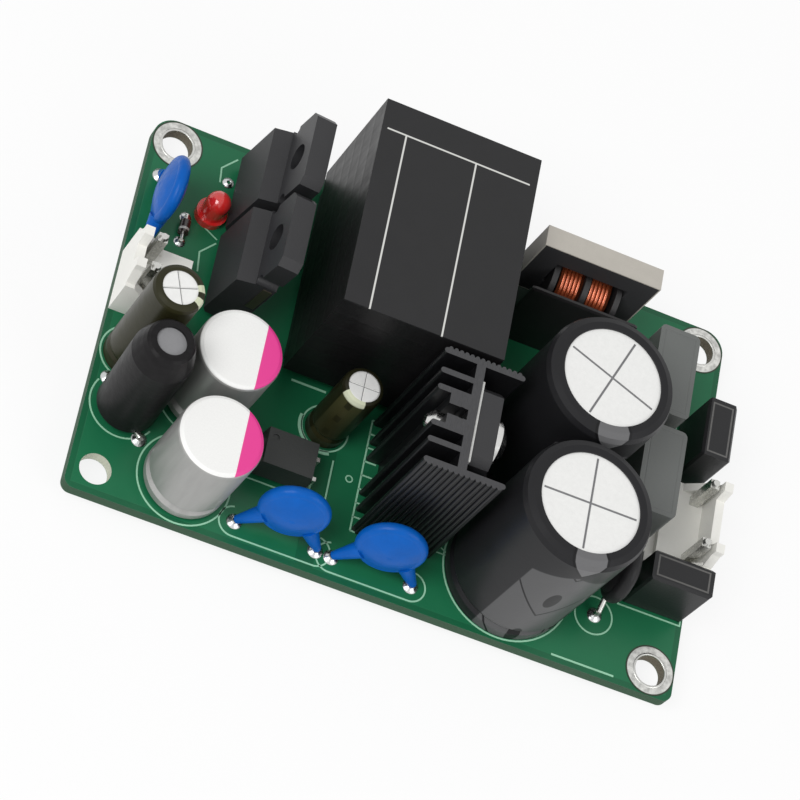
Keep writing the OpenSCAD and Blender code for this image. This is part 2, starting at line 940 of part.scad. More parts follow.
module bulk_sleeve_2() {
  color([0.2, 0.2, 0.21])
    cap_sleeve(bulk_2_at, bulk_d, bulk_h, bulk_sleeve, bulk_shoulder, bulk_open_d);
}

module tall_can() {
  cored_can(tall_at, tall_d, tall_h, small_sleeve, small_shoulder, 20);
}

module tall_sleeve() {
  color([0.28, 0.25, 0.16])
    cap_sleeve(tall_at, tall_d, tall_h, small_sleeve, small_shoulder, tall_open_d);
}

module supply_can() {
  cored_can(aux_at, aux_d, aux_h, small_sleeve, small_shoulder, 0);
}

module supply_sleeve() {
  color([0.28, 0.25, 0.16])
    cap_sleeve(aux_at, aux_d, aux_h, small_sleeve, small_shoulder, aux_open_d);
}

// bare can on a rubber seal, printed on top
module polymer_can(at) {
  color([0.6, 0.6, 0.6])
    on_board(at, 0.5)
      can_body(poly_d / 2, poly_h - 0.5, 0.5, 1.5, 0.45);
}

module polymer_can_1() {
  polymer_can(poly_1_at);
}

module polymer_can_2() {
  polymer_can(poly_2_at);
}

module polymer_seals() {
  color([0.1, 0.1, 0.1])
    for (p = [poly_1_at, poly_2_at])
      on_board(p)
        cylinder(h = 0.5, d = poly_d - 1.4);
}

// film capacitor box
module film_box(at) {
  color([0.49, 0.5, 0.49])
    on_board(at)
      linear_extrude(film_h)
        rounded(film_t, film_l, film_r);
}

module film_capacitor_1() {
  film_box(film_1_at);
}

module film_capacitor_2() {
  film_box(film_2_at);
}

// lens shaped disc with a round rim, standing on edge in the XZ plane
module lens(d, t) {
  rim = t / 4;
  reach = d / 2 - rim;
  sag = t / 2 - rim;
  arc = (reach * reach + sag * sag) / (2 * sag);
  rotate([90, 0, 0])
    rotate_extrude() {
      intersection() {
        translate([0, t / 2 - arc])
          circle(arc, $fn = 200);
        translate([0, arc - t / 2])
          circle(arc, $fn = 200);
        translate([0, -t])
          square([reach, 2 * t]);
      }
      translate([reach, 0])
        circle(rim, $fn = 32);
    }
}

// dipped disc capacitor with coated legs that spread to the holes
module disc_capacitor(at, turn, lean) {
  color([0.1, 0.43, 0.75])
    on_board(at)
      rotate(turn)
        difference() {
          translate([0, 0, yc_stand])
            rotate([-lean, 0, 0])
              translate([0, 0, -yc_stand]) {
                translate([0, 0, yc_z])
                  lens(yc_d, yc_t);
                for (s = [-1, 1])
                  strut([s * yc_d * 0.32, 0, yc_z - yc_d * 0.25], [s * yc_pitch / 2, 0, yc_stand],
                        yc_leg_r, yc_foot_r);
              }
          row(2, yc_pitch)
            translate([0, 0, -yc_stand])
              cylinder(h = 2 * yc_stand, d = lead_d);
        }
}

module disc_capacitor_1() {
  disc_capacitor(yc_1_at, 0, yc_lean);
}

module disc_capacitor_2() {
  disc_capacitor(yc_2_at, 0, yc_lean);
}

module disc_capacitor_3() {
  disc_capacitor(yc_3_at, 90, -yc_3_lean);
}

module thermistor() {
  color([0.15, 0.15, 0.15])
    on_board(ntc_at)
      rotate(90)
        difference() {
          union() {
            translate([0, 0, ntc_z])
              lens(ntc_d, ntc_t);
            for (s = [-1, 1])
              strut([s * ntc_root_x, 0, ntc_z - ntc_d * 0.35], [s * ntc_root_x, 0, ntc_root_z * 0.7],
                    lead_d * 1.1, lead_d * 0.85);
          }
          for (s = [-1, 1])
            ntc_lead(s);
        }
}

// ---------- inductor ----------

module lean_inductor() {
  on_board(ind_at, ind_base)
    rotate([-ind_lean[0], -ind_lean[1], 0])
      children();
}

module inductor_core() {
  color([0.45, 0.45, 0.46])
    lean_inductor()
      cylinder(h = ind_top - ind_base - 0.35, d = ind_core_d);
}

// shrunk sleeve that narrows at its mouth
module inductor_sleeve() {
  r = ind_d / 2;
  rm = ind_mouth_d / 2;
  h = ind_top - ind_base;
  color([0.16, 0.15, 0.15])
    lean_inductor()
      difference() {
        rotate_extrude()
          polygon([
            [0, 0], [r - 0.4, 0], [r, 0.5], [r, h - 3.2], [r - 0.25, h - 2.2],
            [rm + 0.35, h - 1.0], [rm + 0.1, h - 0.3], [rm - 0.2, h], [0, h]
          ]);
        translate([0, 0, -1])
          cylinder(h = h + 2, d = ind_core_d);
      }
}

// ---------- power packages ----------

// full plastic package, back face on x = 0, front towards -X
module package() {
  difference() {
    intersection() {
      rotate([90, 0, 0])
        translate([0, 0, -pk_w / 2])
          linear_extrude(pk_w)
            polygon([
              [0, 0.3], [-0.3, 0], [0.5 - pk_t, 0], [-pk_t, 0.6], [-pk_t, pk_ledge - 0.4],
              [-pk_tab_t, pk_ledge + 0.3], [-pk_tab_t, pk_h], [0, pk_h]
            ]);
      rotate([90, 0, -90])
        translate([0, 0, -1])
          linear_extrude(pk_t + 2)
            polygon([
              [-pk_w / 2, 0], [pk_w / 2, 0], [pk_w / 2, pk_h - pk_corner],
              [pk_w / 2 - pk_corner, pk_h], [-pk_w / 2 + pk_corner, pk_h],
              [-pk_w / 2, pk_h - pk_corner]
            ]);
    }
    translate([1, 0, pk_h - pk_hole_down])
      rotate([0, -90, 0])
        cylinder(h = pk_t + 2, d = pk_hole_d);
    for (s = [-1, 1])
      translate([1, s * pk_w / 2, pk_ledge + 1.3])
        rotate([0, -90, 0])
          cylinder(h = pk_t + 2, r = pk_notch_r);
  }
}

module lean_rectifier(at) {
  on_board(at, rect_z)
    rotate([0, rect_lean, 0])
      children();
}

module place_packages() {
  lean_rectifier(rect_1_at)
    children();
  lean_rectifier(rect_2_at)
    children();
  on_board([sw_x, hs_at[1]], sw_z)
    mirror([1, 0, 0])
      children();
}

module rectifier_1() {
  color([0.2, 0.2, 0.2])
    lean_rectifier(rect_1_at)
      package();
}

module rectifier_2() {
  color([0.2, 0.2, 0.2])
    lean_rectifier(rect_2_at)
      package();
}

module switch_transistor() {
  color([0.2, 0.2, 0.2])
    on_board([sw_x, hs_at[1]], sw_z)
      mirror([1, 0, 0])
        package();
}

module package_leads() {
  color([0.8, 0.8, 0.8]) {
    for (p = [rect_1_at, rect_2_at])
      difference() {
        translate([p[0] - pk_lead_in, p[1], 0])
          rotate(90)
            row(3, pk_pitch)
              translate([-pk_lead_w / 2, -pk_lead_t / 2, 0])
                cube([pk_lead_w, pk_lead_t, board_t + rect_z + pk_lead_in]);
        lean_rectifier(p)
          translate([-2 * pk_t, -pk_w, 0])
            cube([4 * pk_t, 2 * pk_w, 2 * pk_t]);
      }
    translate([sw_x + pk_lead_in, hs_at[1], 0])
      rotate(90)
        row(3, pk_pitch)
          translate([-pk_lead_w / 2, -pk_lead_t / 2, 0])
            cube([pk_lead_w, pk_lead_t, board_t + sw_z]);
  }
}

// ends of the lead frame seen in the package sides
module package_strips() {
  color([0.45, 0.38, 0.3])
    place_packages()
      for (s = [-1, 1])
        translate([-pk_strip_w - 0.3, s * (pk_w / 2 + 0.05) - 0.05, pk_ledge - pk_strip_h])
          cube([pk_strip_w, 0.1, pk_strip_h]);
}

// ---------- heatsink ----------

// a flat fin with a round tip, from the spine out to reach, along +X
module fin(reach, t) {
  translate([0, -t / 2])
    square([reach - t / 2, t]);
  translate([reach - t / 2, 0])
    circle(t / 2);
}

module heatsink_shape() {
  arm_y = (hs_l - hs_fin) / 2;
  difference() {
    union() {
      translate([-hs_spine / 2, -hs_l / 2])
        square([hs_spine, hs_l]);
      for (s = [-1, 1]) {
        translate([0, s * arm_y])
          fin(hs_arm, hs_fin);
        for (y = [arm_y, arm_y - 2.6, 2.3])
          translate([0, s * y])
            mirror([1, 0])
              fin(hs_reach, hs_fin);
        translate([-hs_jaw, s > 0 ? hs_slot / 2 : -hs_slot / 2 - hs_jaw_t])
          square([hs_jaw, hs_jaw_t]);
        translate([0, s * hs_l / 2])
          for (i = [0 : hs_ribs - 1])
            translate([-hs_reach + hs_fin + i * (hs_reach + hs_arm - 2 * hs_fin) / (hs_ribs - 1), 0])
              circle(hs_rib, $fn = 24);
      }
    }
    translate([-hs_spine / 2 - hs_slot * 0.55, 0])
      circle(hs_slot * 0.55);
  }
}

module heatsink() {
  color([0.13, 0.13, 0.14])
    on_board(hs_at)
      difference() {
        linear_extrude(hs_h)
          heatsink_shape();
        translate([hs_spine, 0, screw_z])
          rotate([0, -90, 0])
            cylinder(h = hs_reach + 2 * hs_spine, d = screw_d + 2 * screw_gap);
      }
}

module thermal_pad() {
  color([0.93, 0.93, 0.93])
    on_board([sw_x - pad_t, hs_at[1]], sw_z + 0.3)
      difference() {
        translate([0, -pk_w / 2 - 0.2, 0])
          cube([pad_t, pk_w + 0.4, pk_h - 0.2]);
        translate([-1, 0, screw_z - sw_z - 0.3])
          rotate([0, 90, 0])
            cylinder(h = pad_t + 2, d = pk_hole_d);
      }
}

// pan head screw through the tab, the pad and the spine
module heatsink_screw() {
  color([0.85, 0.85, 0.85])
    on_board([screw_x, hs_at[1]], screw_z)
      difference() {
        rotate([0, 90, 0])
          union() {
            translate([0, 0, -screw_l + 0.8])
              cylinder(h = screw_l - 0.8, d = screw_d);
            translate([0, 0, -screw_l])
              cylinder(h = 0.8, d1 = screw_d * 0.4, d2 = screw_d);
            cylinder(h = screw_head_h * 0.5, d = screw_head_d);
            translate([0, 0, screw_head_h * 0.5])
              cylinder(h = screw_head_h * 0.5, d1 = screw_head_d, d2 = screw_head_d * 0.6);
          }
        for (a = [0, 90])
          translate([screw_head_h, 0, 0])
            rotate([a, 0, 0])
              cube([1.8, 2.6, 0.5], center = true);
      }
}

// ---------- connectors and fuses ----------

// header body, posts on x = 0, lock wall towards -X, span is the first to last post
module header_body(span, n) {
  w = span + 2 * hd_end;
  color([0.86, 0.86, 0.84])
    difference() {
      union() {
        translate([-hd_back, -w / 2, 0])
          cube([hd_back + hd_front, w, hd_floor]);
        translate([-hd_back, 0, 0])
          rotate([90, 0, 90])
            linear_extrude(hd_wall)
              polygon([
                [-w / 2, 0], [w / 2, 0], [w / 2, hd_floor + 1.2], [w / 2 - 1.2, hd_wall_h - 1],
                [w / 2 - 1.2, hd_wall_h], [w / 2 - 2.4, hd_wall_h], [w / 2 - 2.8, hd_wall_h - 2],
                [-w / 2 + 2.8, hd_wall_h - 2], [-w / 2 + 2.4, hd_wall_h],
                [-w / 2 + 1.2, hd_wall_h], [-w / 2 + 1.2, hd_wall_h - 1], [-w / 2, hd_floor + 1.2]
              ]);
        for (s = [-1, 1])
          translate([-hd_back, s * (w / 2 - 0.5) + 0.5, 0])
            rotate([90, 0, 0])
              linear_extrude(1)
                polygon([
                  [0, 0], [hd_back + 1.6, 0], [hd_back + 1.6, hd_floor],
                  [hd_wall, hd_floor + 2.6], [0, hd_floor + 2.6]
                ]);
      }
      for (i = [0 : n - 1])
        translate([0, (i - (n - 1) / 2) * span / (n - 1), -1])
          translate([-hd_post / 2, -hd_post / 2, 0])
            cube([hd_post, hd_post, hd_floor + 2]);
      translate([hd_front - 1.4, -w / 2 + 1.2, hd_floor - 0.8])
        cube([2, w - 2.4, 2]);
    }
}

module output_header() {
  on_board(out_at)
    header_body(hd_pitch, 2);
}

module input_header() {
  on_board(in_at)
    rotate(180)
      header_body(2 * hd_pitch, 2);
}

// square posts with a bevelled tip
module header_posts() {
  color([0.8, 0.8, 0.8])
    post_sites() {
      translate([-hd_post / 2, -hd_post / 2, 0])
        cube([hd_post, hd_post, board_t + hd_post_h - 0.4]);
      translate([0, 0, board_t + hd_post_h - 0.4])
        rotate(45)
          cylinder(h = 0.4, r1 = hd_post * 0.5, r2 = hd_post * 0.35, $fn = 24);
    }
}

module fuse_1() {
  color([0.16, 0.15, 0.15])
    on_board(fuse_1_at)
      rotate(90)
        bevelled_box(fuse_l, fuse_w, fuse_h, bevel);
}

module fuse_2() {
  color([0.16, 0.15, 0.15])
    on_board(fuse_2_at)
      bevelled_box(fuse_l, fuse_w, fuse_h, bevel);
}

// ---------- small parts ----------

module optocoupler() {
  mid = (oc_base + oc_top) / 2;
  color([0.2, 0.2, 0.2])
    on_board(oc_at)
      difference() {
        translate([0, oc_w / 2, 0])
          rotate([90, 0, 0])
            linear_extrude(oc_w)
              polygon([
                [-oc_l / 2 + 0.2, oc_base], [oc_l / 2 - 0.2, oc_base], [oc_l / 2, mid],
                [oc_l / 2 - 0.2, oc_top], [-oc_l / 2 + 0.2, oc_top], [-oc_l / 2, mid]
              ]);
        translate([-oc_l / 2 + 1.1, oc_w / 2 - 1.1, oc_top - 0.15])
          cylinder(h = 1, d = 0.8);
      }
}

module optocoupler_leads() {
  mid = (oc_base + oc_top) / 2;
  color([0.8, 0.8, 0.8])
    on_board(oc_at)
      for (x = [-1, 1], y = [-1, 1])
        translate([0, y * pk_pitch / 2 - oc_lead_w / 2, 0])
          union() {
            translate([x * oc_rows / 2 - oc_lead_t / 2, 0, -board_t])
              cube([oc_lead_t, oc_lead_w, board_t + mid + oc_lead_t / 2]);
            translate([x > 0 ? oc_l / 2 : -oc_rows / 2, 0, mid - oc_lead_t / 2])
              cube([(oc_rows - oc_l) / 2, oc_lead_w, oc_lead_t]);
          }
}

module lamp() {
  r = led_d / 2;
  color([0.68, 0.14, 0.15])
    on_board(led_at)
      difference() {
        rotate_extrude()
          intersection() {
            union() {
              square([led_flange_d / 2, 1]);
              square([r, led_h - r]);
              translate([0, led_h - r])
                circle(r);
            }
            square([led_flange_d, led_h]);
          }
        translate([-led_flange_d / 2, r + 0.1, -1])
          cube([led_flange_d, 2, 3]);
      }
}

module small_diode() {
  color([0.12, 0.12, 0.12])
    on_board(diode_at)
      translate([0, diode_l / 2, diode_d / 2])
        rotate([90, 0, 0])
          cylinder(h = diode_l, d = diode_d);
}

// ---------- underside ----------

module gull_leads(l, w, n, pitch) {
  for (s = [-1, 1])
    rotate(s > 0 ? 0 : 180)
      row(n, pitch)
        translate([-0.2, w / 2, 0])
          union() {
            cube([0.4, 1.0, 0.2]);
            cube([0.4, 0.2, 0.8]);
          }
}

module bridge_rectifier() {
  color([0.15, 0.15, 0.15])
    under_board(bridge_at)
      bevelled_box(bridge_l, bridge_w, bridge_h, bevel);
}

module controller() {
  color([0.15, 0.15, 0.15])
    under_board(ctrl_at)
      bevelled_box(ctrl_l, ctrl_w, ctrl_h, bevel);
}

module underside_leads() {
  color([0.8, 0.8, 0.8]) {
    under_board(bridge_at)
      gull_leads(bridge_l, bridge_w, 2, 4);
    under_board(ctrl_at)
      gull_leads(ctrl_l, ctrl_w, 4, 1.27);
  }
}

// chip parts in three rows, one kind in every second place
module chip_rows(first, h) {
  for (i = [0 : 4])
    if ((i + first) % 2 == 0)
      for (p = [chips_1_at, chips_2_at, chips_3_at])
        under_board([p[0] + i * chip_step * 0.55, p[1]])
          rotate(90)
            bevelled_box(chip_l, chip_w, h, 0.08);
}

module chip_resistors() {
  color([0.15, 0.15, 0.16])
    chip_rows(0, chip_h);
}

module chip_capacitors() {
  color([0.65, 0.5, 0.35])
    chip_rows(1, chip_cap_h);
}

// ---------- assembly ----------
pcb();
mounting_lands();
solder_joints();
post_joints();
wire_leads();
transformer_core();
transformer_bobbin();
transformer_winding();
transformer_wrap();
transformer_label();
transformer_pins();
choke_core();
choke_band();
choke_bobbin();
choke_windings();
choke_pins();
bulk_can_1();
bulk_can_2();
bulk_sleeve_1();
bulk_sleeve_2();
film_capacitor_1();
film_capacitor_2();
polymer_can_1();
polymer_can_2();
polymer_seals();
tall_can();
tall_sleeve();
supply_can();
supply_sleeve();
inductor_core();
inductor_sleeve();
rectifier_1();
rectifier_2();
switch_transistor();
package_leads();
package_strips();
heatsink();
thermal_pad();
heatsink_screw();
disc_capacitor_1();
disc_capacitor_2();
disc_capacitor_3();
thermistor();
output_header();
input_header();
header_posts();
fuse_1();
fuse_2();
optocoupler();
optocoupler_leads();
lamp();
small_diode();
bridge_rectifier();
controller();
underside_leads();
chip_resistors();
chip_capacitors();
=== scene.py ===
import math

import bmesh
import bpy
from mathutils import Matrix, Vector


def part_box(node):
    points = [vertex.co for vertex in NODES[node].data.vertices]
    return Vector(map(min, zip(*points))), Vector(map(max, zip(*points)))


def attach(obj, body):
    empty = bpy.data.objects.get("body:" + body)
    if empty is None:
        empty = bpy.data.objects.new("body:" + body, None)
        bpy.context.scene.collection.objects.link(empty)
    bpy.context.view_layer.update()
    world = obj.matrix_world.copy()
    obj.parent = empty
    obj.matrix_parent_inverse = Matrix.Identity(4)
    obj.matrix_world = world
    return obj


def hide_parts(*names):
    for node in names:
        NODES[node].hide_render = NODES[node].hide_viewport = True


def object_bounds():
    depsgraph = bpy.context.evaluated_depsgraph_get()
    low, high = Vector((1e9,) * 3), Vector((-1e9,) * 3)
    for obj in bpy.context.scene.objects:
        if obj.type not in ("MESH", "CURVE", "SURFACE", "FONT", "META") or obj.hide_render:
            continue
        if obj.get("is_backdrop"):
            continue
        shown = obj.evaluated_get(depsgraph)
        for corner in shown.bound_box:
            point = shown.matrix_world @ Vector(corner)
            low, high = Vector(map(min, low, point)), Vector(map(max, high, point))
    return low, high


bl_info = {
    "name": "Open frame power supply",
    "version": (1, 0, 0),
    "blender": (4, 5, 0),
    "location": "View3D > Sidebar > Power supply",
    "description": "Dresses an open frame power supply: materials, print, solder, coils and studio",
    "category": "Object",
}

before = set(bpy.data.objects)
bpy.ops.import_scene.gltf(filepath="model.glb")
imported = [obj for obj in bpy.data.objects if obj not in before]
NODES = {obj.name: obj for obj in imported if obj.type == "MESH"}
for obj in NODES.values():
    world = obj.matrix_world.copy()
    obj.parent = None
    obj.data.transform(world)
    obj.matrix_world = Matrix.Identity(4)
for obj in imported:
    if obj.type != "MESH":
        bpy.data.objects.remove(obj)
MM = 0.001
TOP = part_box("pcb")[1].z  # upper face of the board

# Places on the board, in millimetres from the middle of the mounting holes
LAND_R, BORE_R = 3.15, 1.9  # a mounting land and the hole in it
DISC_AT = ((-13.0, -22.5), (-1.0, -22.6))  # middles of the lead pairs at the front edge
SIDE_DISC_AT = (-36.05, 12.3)
DISC_REACH = 5.0  # half the lead spacing
INDUCTOR_AT, INDUCTOR_TURN, INDUCTOR_REACH = (-33.5, -13.75), 130.0, 4.0
THERMISTOR_Y, THERMISTOR_REACH = -14.1, 3.75
DIODE_REACH = 1.7
RECTIFIER_LEAD_AT = (-27.9, 19.8)
CHIP_ROWS = (8.0, 12.0, 17.0)  # y of the rows of chips below the board

# The camera that sees the model from the front left and above: metres and degrees
CAMERA_AT = (-0.10877, -0.20249, 0.33347)
CAMERA_TURN = (26.3240825, -23.37160935, 10.87543232)


# ---------- shader expressions ----------


class Sock:
    """One output socket, with arithmetic that adds Math nodes."""

    def __init__(self, tree, out):
        self.tree, self.out = tree, out

    def math(self, operation, *values):
        node = self.tree.nodes.new("ShaderNodeMath")
        node.operation = operation
        for place, value in zip(node.inputs, values):
            if isinstance(value, Sock):
                self.tree.links.new(value.out, place)
            else:
                place.default_value = value
        return Sock(self.tree, node.outputs[0])

    def __add__(self, other):
        return self.math("ADD", self, other)

    __radd__ = __add__

    def __sub__(self, other):
        return self.math("SUBTRACT", self, other)

    def __rsub__(self, other):
        return self.math("SUBTRACT", other, self)

    def __mul__(self, other):
        return self.math("MULTIPLY", self, other)

    def __truediv__(self, other):
        return self.math("DIVIDE", self, other)

    def __pow__(self, other):
        return self.math("POWER", self, other)

    def __gt__(self, other):
        return self.math("GREATER_THAN", self, other)

    def __lt__(self, other):
        return self.math("LESS_THAN", self, other)

    def __abs__(self):
        return self.math("ABSOLUTE", self)

    def __or__(self, other):
        return self.math("MAXIMUM", self, other)

    def __and__(self, other):
        return self.math("MINIMUM", self, other)

    def __mod__(self, other):
        return self.math("FLOORED_MODULO", self, other)

    def sin(self):
        return self.math("SINE", self)

    def angle(self, other):
        """The angle whose sine side is self and cosine side is other."""
        return self.math("ARCTAN2", self, other)

    def soft(self, low, high):
        """0 below low, 1 above high, smooth between them."""
        node = self.tree.nodes.new("ShaderNodeMapRange")
        node.interpolation_type = "SMOOTHSTEP"
        self.tree.links.new(self.out, node.inputs["Value"])
        node.inputs["From Min"].default_value = low
        node.inputs["From Max"].default_value = high
        return Sock(self.tree, node.outputs["Result"])

    def between(self, low, high, edge):
        """1 between two levels and 0 outside them, with soft edges."""
        return self.soft(low, low + edge) * (1 - self.soft(high, high + edge))


class Finish:
    """A material under construction: a Principled shader and what feeds it."""

    def __init__(self, name, rough, metallic=0.0, coat=0.0, specular=0.5):
        self.mat = bpy.data.materials.new(name)
        self.mat.use_nodes = True
        self.tree = self.mat.node_tree
        self.bsdf = self.tree.nodes["Principled BSDF"]
        for socket, value in (
            ("Roughness", rough),
            ("Metallic", metallic),
            ("Coat Weight", coat),
            ("Coat Roughness", 0.12),
            ("Specular IOR Level", specular),
        ):
            self.bsdf.inputs[socket].default_value = value

    def node(self, kind, settings=None, inputs=None, out=0):
        """Adds any node: its settings first, then the values or links of its sockets."""
        node = self.tree.nodes.new(kind)
        for key, value in (settings or {}).items():
            setattr(node, key, value)
        for key, value in (inputs or {}).items():
            if isinstance(value, Sock):
                self.tree.links.new(value.out, node.inputs[key])
            else:
                node.inputs[key].default_value = value
        return Sock(self.tree, node.outputs[out])

    def where(self):
        """The object coordinates of the surface in millimetres, as one vector."""
        place = self.node("ShaderNodeTexCoord", out="Object")
        inputs = {0: place, "Scale": 1 / MM}
        return self.node("ShaderNodeVectorMath", {"operation": "SCALE"}, inputs)

    def point(self):
        """The same coordinates as three values."""
        split = self.tree.nodes.new("ShaderNodeSeparateXYZ")
        self.tree.links.new(self.where().out, split.inputs[0])
        return [Sock(self.tree, out) for out in split.outputs]

    def noise(self, size, detail=3.0, stretch=(1.0, 1.0, 1.0)):
        """Noise between 0 and 1, with cells about size millimetres across."""
        inputs = {0: self.where(), 1: stretch}
        placed = self.node("ShaderNodeVectorMath", {"operation": "MULTIPLY"}, inputs)
        inputs = {"Vector": placed, "Scale": 1.0 / size, "Detail": detail, "Roughness": 0.55}
        return self.node("ShaderNodeTexNoise", inputs=inputs)

    def mix(self, mask, low, high):
        """Colour low where mask is 0 and colour high where it is 1."""
        node = self.tree.nodes.new("ShaderNodeMix")
        node.data_type = "RGBA"
        self.tree.links.new(mask.out, node.inputs["Factor"])
        for place, value in (("A", low), ("B", high)):
            socket = [i for i in node.inputs if i.name == place and i.type == "RGBA"][0]
            if isinstance(value, Sock):
                self.tree.links.new(value.out, socket)
            else:
                socket.default_value = (*value, 1.0) if len(value) == 3 else value
        return Sock(self.tree, [o for o in node.outputs if o.type == "RGBA"][0])

    def vary(self, mask, colour, low, high):
        """One colour, from low to high times as bright where mask goes from 0 to 1."""
        return self.mix(mask, shade(colour, low), shade(colour, high))

    def feed(self, **links):
        """Links color, rough, metallic and bump to the shader; depth is the bump's height in mm."""
        sockets = {"color": "Base Color", "rough": "Roughness", "metallic": "Metallic"}
        for key, socket in sockets.items():
            if key in links:
                self.tree.links.new(links[key].out, self.bsdf.inputs[socket])
        if "bump" in links:
            inputs = {"Height": links["bump"], "Strength": 1.0, "Distance": links["depth"] * MM}
            bumped = self.node("ShaderNodeBump", inputs=inputs)
            self.tree.links.new(bumped.out, self.bsdf.inputs["Normal"])
        return self


def shade(colour, factor):
    """A colour made lighter or darker."""
    return tuple(min(1.0, c * factor) for c in colour)


def moulded(name, colour, rough, grain=0.25, depth=0.012, spread=0.12, coat=0.0):
    """Moulded plastic or coating: fine grain, slow colour drift, handled gloss."""
    f = Finish(name, rough, coat=coat)
    drift, fine = f.noise(6.0, 2.0), f.noise(grain, 4.0)
    tone = drift * 0.6 + fine * 0.4
    return f.feed(
        color=f.vary(tone, colour, 1 - spread, 1 + spread),
        rough=drift * 0.16 + (rough - 0.08) + fine * 0.05,
        bump=fine,
        depth=depth,
    )


def metal(name, colour, rough, stretch=(1.0, 1.0, 1.0), grain=0.4, depth=0.006):
    """Bare or plated metal: drawn or tumbled grain in the roughness and a slight tarnish."""
    f = Finish(name, rough, metallic=1.0)
    drift, fine = f.noise(4.0, 2.0), f.noise(grain, 4.0, stretch)
    return f.feed(
        color=f.vary(drift * 0.5 + fine * 0.5, colour, 0.9, 1.1),
        rough=fine * 0.18 + drift * 0.12 + (rough - 0.12),
        bump=fine,
        depth=depth,
    )


def dress(node, finish):
    """Gives a carried-over solid its finish."""
    for place in NODES[node].material_slots:
        place.material = finish.mat


# ---------- mesh pieces ----------


def add_piece(name, bm, finish, stands_for=(), smooth=True):
    """Turns a bmesh in metres into a piece that rides on the board."""
    bmesh.ops.recalc_face_normals(bm, faces=bm.faces)
    mesh = bpy.data.meshes.new(name)
    bm.to_mesh(mesh)
    bm.free()
    for face in mesh.polygons:
        face.use_smooth = smooth
    obj = bpy.data.objects.new(name, mesh)
    bpy.context.scene.collection.objects.link(obj)
    mesh.materials.append(finish.mat)
    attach(obj, "root")
    if stands_for:
        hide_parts(*stands_for)


def ribbon(bm, points, width, low, high, closed=False):
    """A flat printed line of constant width through points, in millimetres."""
    pts = [Vector((p[0], p[1], 0)) for p in points]
    n, rings = len(pts), []
    for i, p in enumerate(pts):
        dirs = []
        if i or closed:
            dirs.append((p - pts[i - 1]).normalized())
        if i < n - 1 or closed:
            dirs.append((pts[(i + 1) % n] - p).normalized())
        along = sum(dirs, Vector()).normalized()
        side = Vector((-along.y, along.x, 0))
        grow = 1.0 / max(0.5, abs(dirs[0].dot(along)))
        a, b = p + side * width / 2 * grow, p - side * width / 2 * grow
        corners = ((a, low), (b, low), (b, high), (a, high))
        rings.append([bm.verts.new((q.x * MM, q.y * MM, z)) for q, z in corners])
    last = n if closed else n - 1
    for i in range(last):
        r, s = rings[i], rings[(i + 1) % n]
        for k in range(4):
            bm.faces.new((r[k], r[(k + 1) % 4], s[(k + 1) % 4], s[k]))
    if not closed:
        bm.faces.new(rings[0])
        bm.faces.new(rings[-1][::-1])


def arc(cx, cy, r, start=0.0, end=360.0, steps=64):
    """Points on a circle, in millimetres and degrees; a whole circle isn't repeated at its end."""
    whole = abs(end - start) >= 360
    n = max(6, int(steps * abs(end - start) / 360))
    span = range(n if whole else n + 1)
    return [
        (cx + r * math.cos(math.radians(start + (end - start) * i / n)),
         cy + r * math.sin(math.radians(start + (end - start) * i / n)))
        for i in span
    ]


def lathe(bm, profile, centre, axis="Z", steps=48):
    """Turns a closed profile of (radius, height) pairs in millimetres about the Z or X axis."""
    rings = []
    for i in range(steps):
        a = 2 * math.pi * i / steps
        ring = []
        for r, h in profile:
            u, v = r * math.cos(a), r * math.sin(a)
            place = (u, v, h) if axis == "Z" else (h, u, v)
            ring.append(bm.verts.new([(c + p) * MM for c, p in zip(centre, place)]))
        rings.append(ring)
    m = len(profile)
    for i in range(steps):
        a, b = rings[i], rings[(i + 1) % steps]
        for k in range(m):
            bm.faces.new((a[k], a[(k + 1) % m], b[(k + 1) % m], b[k]))


def centre_mm(node):
    """Middle and size of a node's box, in millimetres."""
    low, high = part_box(node)
    return (low + high) / 2 / MM, (high - low) / MM


def top_mm(node):
    """Height of a node's top, in millimetres."""
    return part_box(node)[1].z / MM


def tube(bm, points, radius, sides=10):
    """A round wire through points, all in millimetres, with closed ends."""
    pts, rings, side = [Vector(p) for p in points], [], None
    for i, p in enumerate(pts):
        along = (pts[min(i + 1, len(pts) - 1)] - pts[max(i - 1, 0)]).normalized()
        side = along.orthogonal() if side is None else side
        side = (side - along * side.dot(along)).normalized()
        up = along.cross(side)
        ring = []
        for k in range(sides):
            a = 2 * math.pi * k / sides
            out = side * math.cos(a) + up * math.sin(a)
            ring.append(bm.verts.new((p + out * radius) * MM))
        rings.append(ring)
    for a, b in zip(rings, rings[1:]):
        for k in range(sides):
            bm.faces.new((a[k], a[(k + 1) % sides], b[(k + 1) % sides], b[k]))
    bm.faces.new(rings[0][::-1])
    bm.faces.new(rings[-1])


# ---------- settings ----------


def paint(red, green, blue):
    """A colour from screen values of 0 to 255."""
    def linear(c):
        return ((c / 255 + 0.055) / 1.055) ** 2.4 if c > 10 else c / 3295

    return linear(red), linear(green), linear(blue)


def colour(name, description, red, green, blue):
    return bpy.props.FloatVectorProperty(
        name=name, description=description, subtype="COLOR",
        size=3, min=0, max=1, default=paint(red, green, blue),
    )


def length(name, description, mm, low, high):
    return bpy.props.FloatProperty(
        name=name, description=description, subtype="DISTANCE", unit="LENGTH",
        default=mm * MM, min=low * MM, max=high * MM, precision=5,
    )


def power(name, description, watts):
    return bpy.props.FloatProperty(
        name=name, description=description, unit="POWER", default=watts, min=0
    )


def group(kind, name, description):
    return bpy.props.PointerProperty(type=kind, name=name, description=description)


